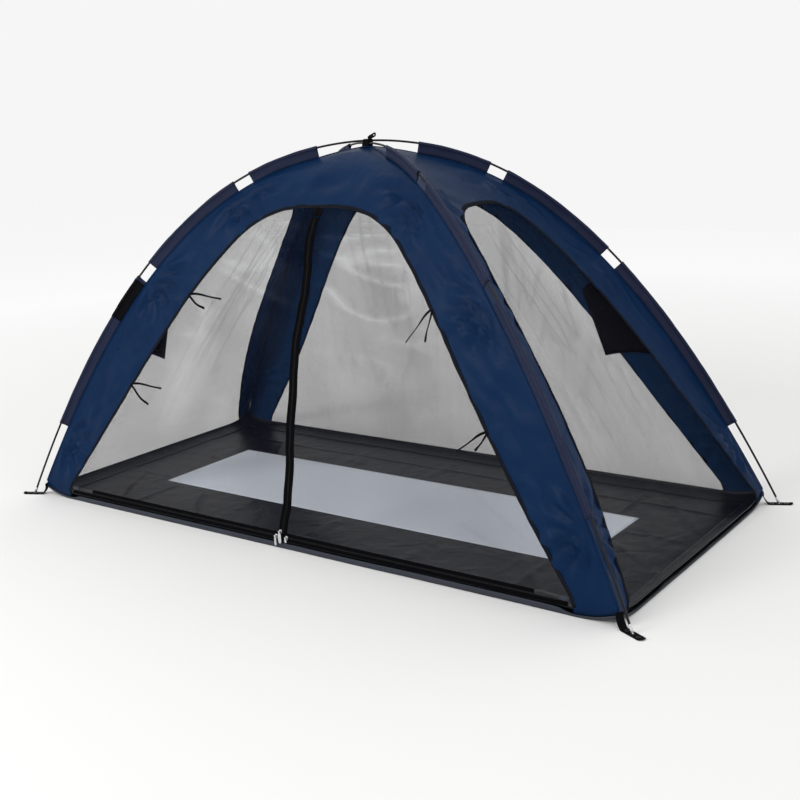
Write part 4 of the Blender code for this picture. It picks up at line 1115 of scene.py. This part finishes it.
def light_panel():
    rows = []
    for y in between(-LIGHT_WIDTH / 2, LIGHT_WIDTH / 2, 40):
        row = []
        for x in between(-LIGHT_LENGTH / 2, LIGHT_LENGTH / 2, 120):
            inside = min((LIGHT_LENGTH / 2 - abs(x)) * 25, (LIGHT_WIDTH / 2 - abs(y)) * 25, 1)
            ripple = max(wrinkle(x, y, 7.0, 14), 0) * LIGHT_RIPPLE * max(inside, 0)
            row.append(Vector((x, y, LIGHT_LIFT + ripple)))
        rows.append(row)
    sew("floor_light_cloth", rows, FLOOR_LIGHT, CLOTH, ["floor_light_panel"], uvs=flat_map(rows),
        sheet=("laid", ["floor_margin_cloth"], LIGHT_LENGTH))


def hem_height(x, y):
    """Height of the hem's band: full along the door and the back, narrow at the ends and corners."""
    if abs(y) <= HALF_WIDTH - LONG_SIDE_BAND:
        return HEM_LOW
    return HEM_LOW + (HEM_HEIGHT - HEM_LOW) * ramp(HALF_LENGTH - abs(x), HEM_CORNER, HEM_CORNER + HEM_TURN)


def hem_band():
    """Upright band between the floor and the walls, with its rolled top edge."""
    rows = []
    for share in between(0, 1, 5):
        row = []
        for x, y in rectangle(HALF_LENGTH, HALF_WIDTH, 90, 46):
            lift = floor_lift(x, y)
            roll = HEM_ROLL * sin(pi * share) + HEM_UNEVEN * wrinkle(x, y, 18.0, 21)
            out = Vector([edge if abs(edge) > 0.999 else 0 for edge in (x / HALF_LENGTH, y / HALF_WIDTH, 0)])
            wave = HEM_WAVE * max(wrinkle(x, y, 3.2, 22), 0) * (1 - lift / CORNER_LIFT)
            row.append(Vector((x, y, lift + wave + hem_height(x, y) * share + HEM_LIFT)) + out * roll)
        rows.append(row)
    sew("hem_band", rows, HEM, TAPE_THICKNESS, ["floor_hem"], closed=True,
        sheet=("stretched", ["floor_margin_cloth"], HEM_CUT))


def floor_side():
    """Outer run of the dark floor cloth, which curves up behind the hem to the foot of the walls."""
    rows = []
    for up in between(0, 1, 12):
        inset = SIDE_INSET + SIDE_CURVE * (1 - up) ** 2
        row = []
        for x, y in rectangle(HALF_LENGTH - inset, HALF_WIDTH - inset, 110, 56):
            slack = SIDE_SLACK * wrinkle(x, y, 9.0, 18) * sin(pi * up)
            low = floor_rise(x, y) + SIDE_INSET
            high = floor_lift(x, y) + HEM_TOP + SIDE_OVERLAP
            row.append(Vector((x, y, low + (high - low) * up ** 1.6 + max(slack, 0))))
        rows.append(row)
    sew("floor_side_cloth", rows, FLOOR_DARK, CLOTH, closed=True, sheet=("stretched", ["hem_band"], SIDE_CUT))


# Poles. Ferrule shares: place along its half, thickness there. Tip profile: height, radius

RODS = 7
POLE_STEPS = 220
FERRULE_SPACING = 0.478
FERRULE_LENGTH = 0.060
FERRULE_RADIUS = 0.0039
FERRULE_GAP = 0.00005
FERRULE_SHARES = ((-1, 0.0), (-1, 1.0), (-0.96, 1.06), (-0.9, 1.0),
                  (0.9, 1.0), (0.96, 1.06), (1, 1.0), (1, 0.0))
TIP_CAP_RADIUS = 0.0037
TIP_CAP_TOP = 0.0215
TIP_CAP_BEVEL = 0.0005
TIP_SHOULDER = 0.0047
TIP_PIN_RADIUS = 0.0020
TIP_PIN_END = 0.0007
TIP_BEVEL = 0.0006
TIP_PROFILE = ((TIP_CAP_TOP, POLE_RADIUS), (TIP_CAP_TOP, TIP_CAP_RADIUS),
               (TIP_SHOULDER + TIP_BEVEL, TIP_CAP_RADIUS),
               (TIP_SHOULDER, TIP_CAP_RADIUS - TIP_CAP_BEVEL), (TIP_SHOULDER, TIP_PIN_RADIUS),
               (TIP_PIN_END + TIP_BEVEL, TIP_PIN_RADIUS), (TIP_PIN_END, TIP_PIN_RADIUS - TIP_BEVEL))


def on_pole(name, hand, stations, material, nodes=()):
    """A turned piece on a pole, through (share of the half pole, radius) stations."""
    frames = [pole_frame(q, hand) for q, _ in stations]
    dress(tube(name, [radius for _, radius in stations], frames, material), nodes)


def poles():
    """Both bent poles, with their ferrules and metal tips."""
    end = tip_share(TIP_CAP_TOP)
    for letter, hand in (("a", 1), ("b", -1)):
        sections = ["pole_%s_section_%d" % (letter, k + 1) for k in range(RODS)]
        stations = [(q, POLE_RADIUS) for q in between(-end, end, POLE_STEPS)]
        on_pole("pole_rods_" + letter, hand, stations, ROD, sections)
        for k in range(1, RODS):
            centre = FERRULE_SPACING * (k - RODS / 2)
            stations = [(share_at_arc(centre + place * FERRULE_LENGTH / 2),
                         POLE_RADIUS + FERRULE_GAP + (FERRULE_RADIUS - POLE_RADIUS) * size)
                        for place, size in FERRULE_SHARES]
            on_pole("pole_ferrule_%s_%d" % (letter, k), hand, stations, METAL)
        for side, name in SIDE_NAMES.items():
            stations = [(side * tip_share(z), radius) for z, radius in TIP_PROFILE]
            on_pole("pole_tip_" + letter + "_" + name, hand, stations, METAL)


# Sleeves and seams

SLEEVE_SHARES = (("upper", 0.125, 0.300), ("middle", 0.340, 0.582), ("lower", 0.615, 0.893))
SLEEVE_INNER = 0.0046
SLEEVE_TAIL_HALF = 0.0011
SLEEVE_SEAM_GAP = 0.0008
SLEEVE_SWAYS = (0.0030, 0.0012)
SLEEVE_STEPS = 150
SLEEVE_CUT = 1.28
PATCHED_SLEEVE = ("front_left", "lower")
PATCH_SHARES = (0.621, 0.700)
PATCH_GROW = 0.0012
PATCH_STEPS = 24
PIPING_RADIUS = 0.0015
PIPING_STEPS = 120


def sleeve_row(q, hand, seed, flare, grow=0.0):
    """Section of a sleeve's cloth at one place: round the pole, then down to the seam and back."""
    point, _, sideways, outward = pole_frame(q, hand)
    drop = (point - seam_point(q, hand)).length
    arc = q * HALF_SPAN
    loose = 1 + 0.22 * wrinkle(arc, hand, 22.0, seed) + 0.10 * wrinkle(arc, hand, 60.0, 33)
    radius = SLEEVE_INNER * loose * (1 + 0.08 * flare) + grow
    row = [point + sideways * (radius * cos(angle)) + outward * (radius * sin(angle))
           for angle in between(-0.32 * pi, 1.32 * pi, 14)]
    sway = SLEEVE_SWAYS[0] * wrinkle(arc, 0.0, 17.0, 37) + SLEEVE_SWAYS[1] * wrinkle(arc, 0.0, 55.0, 38)
    left, right = [], []
    for share in between(0, 1, 5)[1:]:
        depth = -radius - (drop - radius - SLEEVE_SEAM_GAP) * share
        tail = SLEEVE_TAIL_HALF * (1 + 1.6 * exp(-share * 5)) + grow
        bend = sway * sin(pi * share)
        left.append(point + sideways * (bend - tail) + outward * depth)
        right.append(point + sideways * (bend + tail) + outward * depth)
    return row + left + right[::-1]


def sleeve(corner, part, low, high, hand):
    """Cloth tunnel round the pole, its two layers sewn together below and down to the seam."""
    length = abs(high - low)
    steps = max(12, int(length * SLEEVE_STEPS))
    seed = 31 + len(corner)
    rows = [sleeve_row(low + (high - low) * w, hand, seed, abs(2 * w - 1) ** 8) for w in between(0, 1, steps)]
    name = "sleeve_" + corner + "_" + part
    cut = length * SLEEVE_CUT
    sew(name + "_cloth", rows, SLATE, THIN_CLOTH, [name], closed=True, sheet=("stretched", POLES, cut))
    if (corner, part) == PATCHED_SLEEVE:
        start, end = PATCH_SHARES
        rows = [sleeve_row(-q, hand, seed, 0, PATCH_GROW) for q in between(start, end, PATCH_STEPS)]
        sew("sleeve_patch", rows, BLACK, CLOTH, closed=True)


def seam_piping():
    """Bound seams where two walls meet under each pole leg."""
    for corner, sx, sy in CORNERS:
        frames = []
        for q in between(CROWN_SHARE, SEAM_END, PIPING_STEPS):
            x, y, z = seam(q)
            frames.append((crown_rise(Vector((sx * x, sy * y, z))), *pole_frame(sx * q, sx * sy)[1:]))
        dress(tube("seam_piping_" + corner, [PIPING_RADIUS] * len(frames), frames, NAVY, sides=8))


# Corner tabs: webbing that falls from the floor's turned-up corner to the ground, with three eyelets

TAB_START = 0.0020
TAB_HALF = 0.011
TAB_THICKNESS = 0.0016
TAB_ROOT_RISES = (0.0132, 0.0088)
TAB_ROOT_SHARES = (0.04, 0.97)
TAB_FALL_SHARES = (0.15, 0.3, 0.45, 0.6, 0.72, 0.85, 1)
TAB_FLAT_START = 0.0195
TAB_FLAT_END = 0.075
TAB_TIP = 0.010
TAB_TIP_RISE = 0.003
TAB_ROUND_START = 0.074
EYELET_SPACING = 0.020
EYELET_OUTLINE = ((0.0035, 0.0001), (0.0040, 0.0001), (0.0040, 0.0016), (0.0060, 0.0016), (0.0059, 0.0021),
                  (0.0053, 0.0024), (0.0044, 0.0024), (0.0037, 0.0021), (0.0035, 0.0017))


def tab_path():
    """Distance from the crown, and height, along the webbing's middle line."""
    start = HALF_DIAGONAL + TAB_START
    flat = TAB_THICKNESS / 2
    drop = CORNER_LIFT - flat
    run = HALF_DIAGONAL + TAB_FLAT_START - start
    path = [(start, CORNER_LIFT + rise) for rise in TAB_ROOT_RISES]
    path += [(start + run * TAB_ROOT_SHARES[0], CORNER_LIFT * TAB_ROOT_SHARES[1])]
    path += [(start + run * share, flat + drop * (1 - share) ** 1.5) for share in TAB_FALL_SHARES]
    path += [(HALF_DIAGONAL + s, flat) for s in between(TAB_FLAT_START, TAB_FLAT_END, 12)[1:]]
    path += [(HALF_DIAGONAL + TAB_FLAT_END + TAB_TIP * share, flat + TAB_TIP_RISE * share ** 1.5)
             for share in between(0, 1, 4)[1:]]
    return path


def corner_tabs():
    slope = arch_slope(1)
    middle = HALF_SPAN + (PIN_HEIGHT - TAB_THICKNESS) / -slope.y * slope.x
    for corner, sx, sy in CORNERS:
        along = Vector((sx * ALONG.x, sy * ALONG.y, 0))
        across = Vector((-along.y, along.x, 0))
        rows = []
        for s, z in tab_path():
            end = max(0.0, (s - HALF_DIAGONAL - TAB_ROUND_START) / TAB_HALF)
            half = TAB_HALF * sqrt(max(1 - end ** 2 * 0.8, 0.05))
            rows.append([along * s + across * w + UP * z for w in between(-half, half, 8)])
        sew("tab_webbing_" + corner, rows, BLACK, TAB_THICKNESS, ["corner_tab_" + corner])
        for k in (1, 2, 3):
            centre = along * (middle + EYELET_SPACING * (k - 2))
            dress(turned("tab_eyelet_%s_%d" % (corner, k), EYELET_OUTLINE, centre, DARK_METAL))


# Pockets: each with its corner, wall and side, and the upper and lower end of its free edge

POCKETS = (("front_left", FRONT, -1, (0.531, 0.575), (0.522, 0.467)),
           ("back_right", BACK, 1, (0.515, 0.638), (0.556, 0.425)))
POCKET_TOP = 0.690
POCKET_FALL = 0.018
POCKET_SEAM_GAP = 0.010
POCKET_TOP_WIDTH = 0.022
POCKET_DEPTH = 0.026
POCKET_LIFT = 0.0024
POCKET_NET_CLEARANCE = 0.020
POCKET_SLACK = 0.0015
POCKET_STEPS = 16
POCKET_CUT = 0.24


def pocket(corner, wall, side, free_top, free_low):
    """Hanging pocket: sewn along the seam, with its free edge between two places inside the wall."""
    rows = []
    for share in between(0, 1, POCKET_STEPS):
        height = free_low[1] + (POCKET_TOP - free_low[1]) * share
        rise = (height - free_low[1]) / (free_top[1] - free_low[1])
        seam_side = wall.seam(height)[0] - POCKET_SEAM_GAP
        free = free_low[0] + (free_top[0] - free_low[0]) * min(rise, 1)
        free += (seam_side - POCKET_TOP_WIDTH - free) * ramp(height, free_top[1], POCKET_TOP)
        row = []
        for along in between(0, 1, POCKET_STEPS):
            across = free + (seam_side - free) * along
            fall = POCKET_FALL * (1 - share) ** 2 * (4 * along * (1 - along) - 0.6 * along)
            inside = POCKET_LIFT + POCKET_DEPTH * share * sin(pi * min(along + 0.35, 1))
            inside += POCKET_NET_CLEARANCE * max(0, 1 - 1.4 * along)
            inside += POCKET_SLACK * (1 + wrinkle(across * 2, height, 14.0, 51)) * sin(pi * along)
            row.append(wall.point(height + fall, side * across, -inside))
        rows.append(row)
    sew("pocket_" + corner + "_cloth", rows, BLACK, THIN_CLOTH, ["corner_pocket_" + corner],
        sheet=("hung", [wall.name + "_border"], POCKET_CUT))


# Crown: patch over the peak, webbing over both poles with its tail, and a small elastic loop

CROWN_PATCH_RADIUS = 0.024
CROWN_PATCH_LIFT = 0.0014
CROWN_PATCH_FALL = 0.0008
CENTRE_RADIUS = 0.00001
WEBBING = 0.0014
WEBBING_HALF = 0.010
WEBBING_SIDE = 0.0105
WEBBING_BEND = 0.0050
WEBBING_CLEAR = 0.0010
WEBBING_LEAN = 0.002
WEBBING_FOOT = ((0.007, -0.0022), (0.002, -0.0010), (0, 0.002))
TAIL_HALF = 0.0066
TAIL_HOLE = 0.0024
TAIL_HOLE_PLACE = 0.0235
TAIL_END = 0.0072
TAIL_ROUNDING = 0.0078
LEAST_TURN_SHARE = 0.0001
TAIL_START = Vector((0.002, 0, 0.0022))
TAIL_ALONG = Vector((0.93, 0, 0.37))
TAIL_WIDE = Vector((-0.34, 0.38, 0.86))
LOOP_RADIUS = 0.0011
LOOP_PLACE = -0.028
LOOP_OVERREACH = 0.0028
LOOP_HALF = 0.0052
LOOP_STEPS = 28


def crown_patch():
    rows = []
    for share in between(0, 1, 8):
        radius = CENTRE_RADIUS + CROWN_PATCH_RADIUS * share
        height = APEX + CROWN_PATCH_LIFT - CROWN_PATCH_FALL * share
        rows.append([crown_rise(Vector((radius * c, radius * s, height))) for c, s in circle(36)])
    sew("crown_patch_cloth", rows, NAVY, CLOTH, ["crown_strap"], uvs=flat_map(rows), closed=True)


def crown_webbing(top):
    """Strap that comes up beside the crossing, bends over both poles and goes down again."""
    foot = APEX + CROWN_RISE
    side, bend = WEBBING_SIDE, WEBBING_BEND
    path = [(-side - out, foot + rise) for out, rise in WEBBING_FOOT] + [(-side, top - bend - WEBBING_LEAN)]
    path += [(-side + bend * (1 - cos(angle)), top - bend + bend * sin(angle))
             for angle in between(0, pi / 2, 6)]
    rows = []
    for y, z in path + [(-y, z) for y, z in reversed(path)]:
        lean = WEBBING_LEAN * (z - foot) / (top - foot)
        rows.append([Vector((w + lean, y, z)) for w in between(-WEBBING_HALF, WEBBING_HALF, 8)])
    sew("crown_webbing", rows, BLACK, WEBBING)


def crown_tail(top):
    """Tail of the webbing, turned on edge, with a round hole near its tip."""
    start = TAIL_START + UP * top
    rows = []
    for share in between(0, 1, 4):
        row = []
        for c, s in circle(32):
            run = max(abs(c), LEAST_TURN_SHARE)
            ahead = min(TAIL_END / run, TAIL_ROUNDING) if c > 0 else TAIL_HOLE_PLACE / run
            reach = min(ahead, TAIL_HALF / max(abs(s), LEAST_TURN_SHARE))
            radius = TAIL_HOLE + (reach - TAIL_HOLE) * share
            row.append(start + TAIL_ALONG * (TAIL_HOLE_PLACE + radius * c) + TAIL_WIDE * (radius * s))
        rows.append(row)
    sew("crown_tail", rows, BLACK, WEBBING, closed=True)


def elastic_loop():
    """Small elastic loop between the cloth and the left pole beside the crown."""
    q = LOOP_PLACE / HALF_SPAN
    pole = pole_point(q, -1)
    cloth = crown_rise(seam_point(q * 1.25, -1))
    half = (pole - cloth).length / 2 + LOOP_OVERREACH
    along = (pole - cloth).normalized()
    sideways = Vector((along.z, 0, -along.x)).normalized()
    frames = []
    for angle in between(0, 2 * pi, LOOP_STEPS):
        point = (pole + cloth) / 2 + along * (half * cos(angle)) + sideways * (LOOP_HALF * sin(angle))
        tangent = (sideways * cos(angle) * LOOP_HALF - along * half * sin(angle)).normalized()
        frames.append((point, tangent, -FORWARD, tangent.cross(-FORWARD).normalized()))
    dress(tube("crown_elastic", [LOOP_RADIUS] * len(frames), frames, BLACK, sides=8))


# Light and floor of the studio: each lamp with its place, target, size and power

LAMPS = (("key", (-1.5, -4.2, 2.9), (0, 0, 0.4), 2.0, 88),
         ("fill", (3.4, -2.2, 2.4), (0.3, 0, 0.4), 2.4, 12),
         ("top", (0.2, 0.6, 3.4), (0, 0, 0.5), 3.0, 10))
SKY_STRENGTH = 0.92
# The ground is painted paler with distance: painted light that makes up for the lamps' light falling off far
# from the tent.
GROUND_NEAR = (0.800, 0.797, 0.790)
GROUND_FAR = (0.995, 0.995, 0.995)
GROUND_FADE = (1.8, 4.8)
GROUND_RUN = (-9.0, 7.0)
GROUND_HALF = 14.0
GROUND_DROP = 0.0002


def studio():
    bpy.context.scene.view_settings.view_transform = "Standard"
    world = bpy.data.worlds.new("studio")
    bpy.context.scene.world = world
    world.use_nodes = True
    plug(world.node_tree.nodes["Background"], {"Color": (1.0, 1.0, 1.0, 1), "Strength": SKY_STRENGTH})
    for name, place, target, size, power in LAMPS:
        data = bpy.data.lights.new(name, "AREA")
        data.shape = "DISK"
        data.size = size
        data.energy = power
        lamp = bpy.data.objects.new(name, data)
        lamp.location = place
        aim = Vector(target) - Vector(place)
        lamp.rotation_euler = aim.to_track_quat("-Z", "Y").to_euler()
        bpy.context.scene.collection.objects.link(lamp)
    material, tree, shader = new_material("studio_floor")
    place = node(tree, "ShaderNodeTexCoord").outputs["Object"]
    distance = node(tree, "ShaderNodeVectorMath", {0: place}, operation="LENGTH").outputs["Value"]
    fade = {"Value": distance, "From Min": GROUND_FADE[0], "From Max": GROUND_FADE[1]}
    far = node(tree, "ShaderNodeMapRange", fade).outputs["Result"]
    plug(shader, {"Base Color": mixed(tree, far, GROUND_NEAR, GROUND_FAR), "Roughness": 0.9})
    rows = [[Vector((x, y, -GROUND_DROP)) for x in between(-GROUND_HALF, GROUND_HALF, 2)]
            for y in between(*GROUND_RUN, 40)]
    grid("studio_ground", rows, material)


def main():
    add_camera()
    poles()
    for seed, wall in enumerate(WALLS):
        border_panel(wall, seed + 1)
        window_binding(wall, seed + 1)
        if wall is not FRONT:
            window_net(wall, seed + 20)
    for side in SIDE_NAMES:
        door_net(side, 40 + side)
        leaf_tape(side)
    sill_tape()
    zip_head()
    zip_coils()
    door_ties()
    for corner, sx, sy in CORNERS:
        for part, low, high in SLEEVE_SHARES:
            ends = (low, high) if sx > 0 else (-high, -low)
            sleeve(corner, part, *ends, sx * sy)
    seam_piping()
    corner_tabs()
    floor_margin()
    light_panel()
    hem_band()
    floor_side()
    for which in POCKETS:
        pocket(*which)
    crown_patch()
    webbing_top = pole_point(0, 1).z + POLE_RADIUS + WEBBING_CLEAR
    crown_webbing(webbing_top)
    crown_tail(webbing_top)
    elastic_loop()
    for name in ("door_zip_slider", "door_zip_pull", "sill_zip_slider_left", "sill_zip_slider_right",
                 "sill_zip_pull_left", "sill_zip_pull_right"):
        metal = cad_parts[name]
        metal.data.materials.clear()
        metal.data.materials.append(METAL)
    studio()


main()
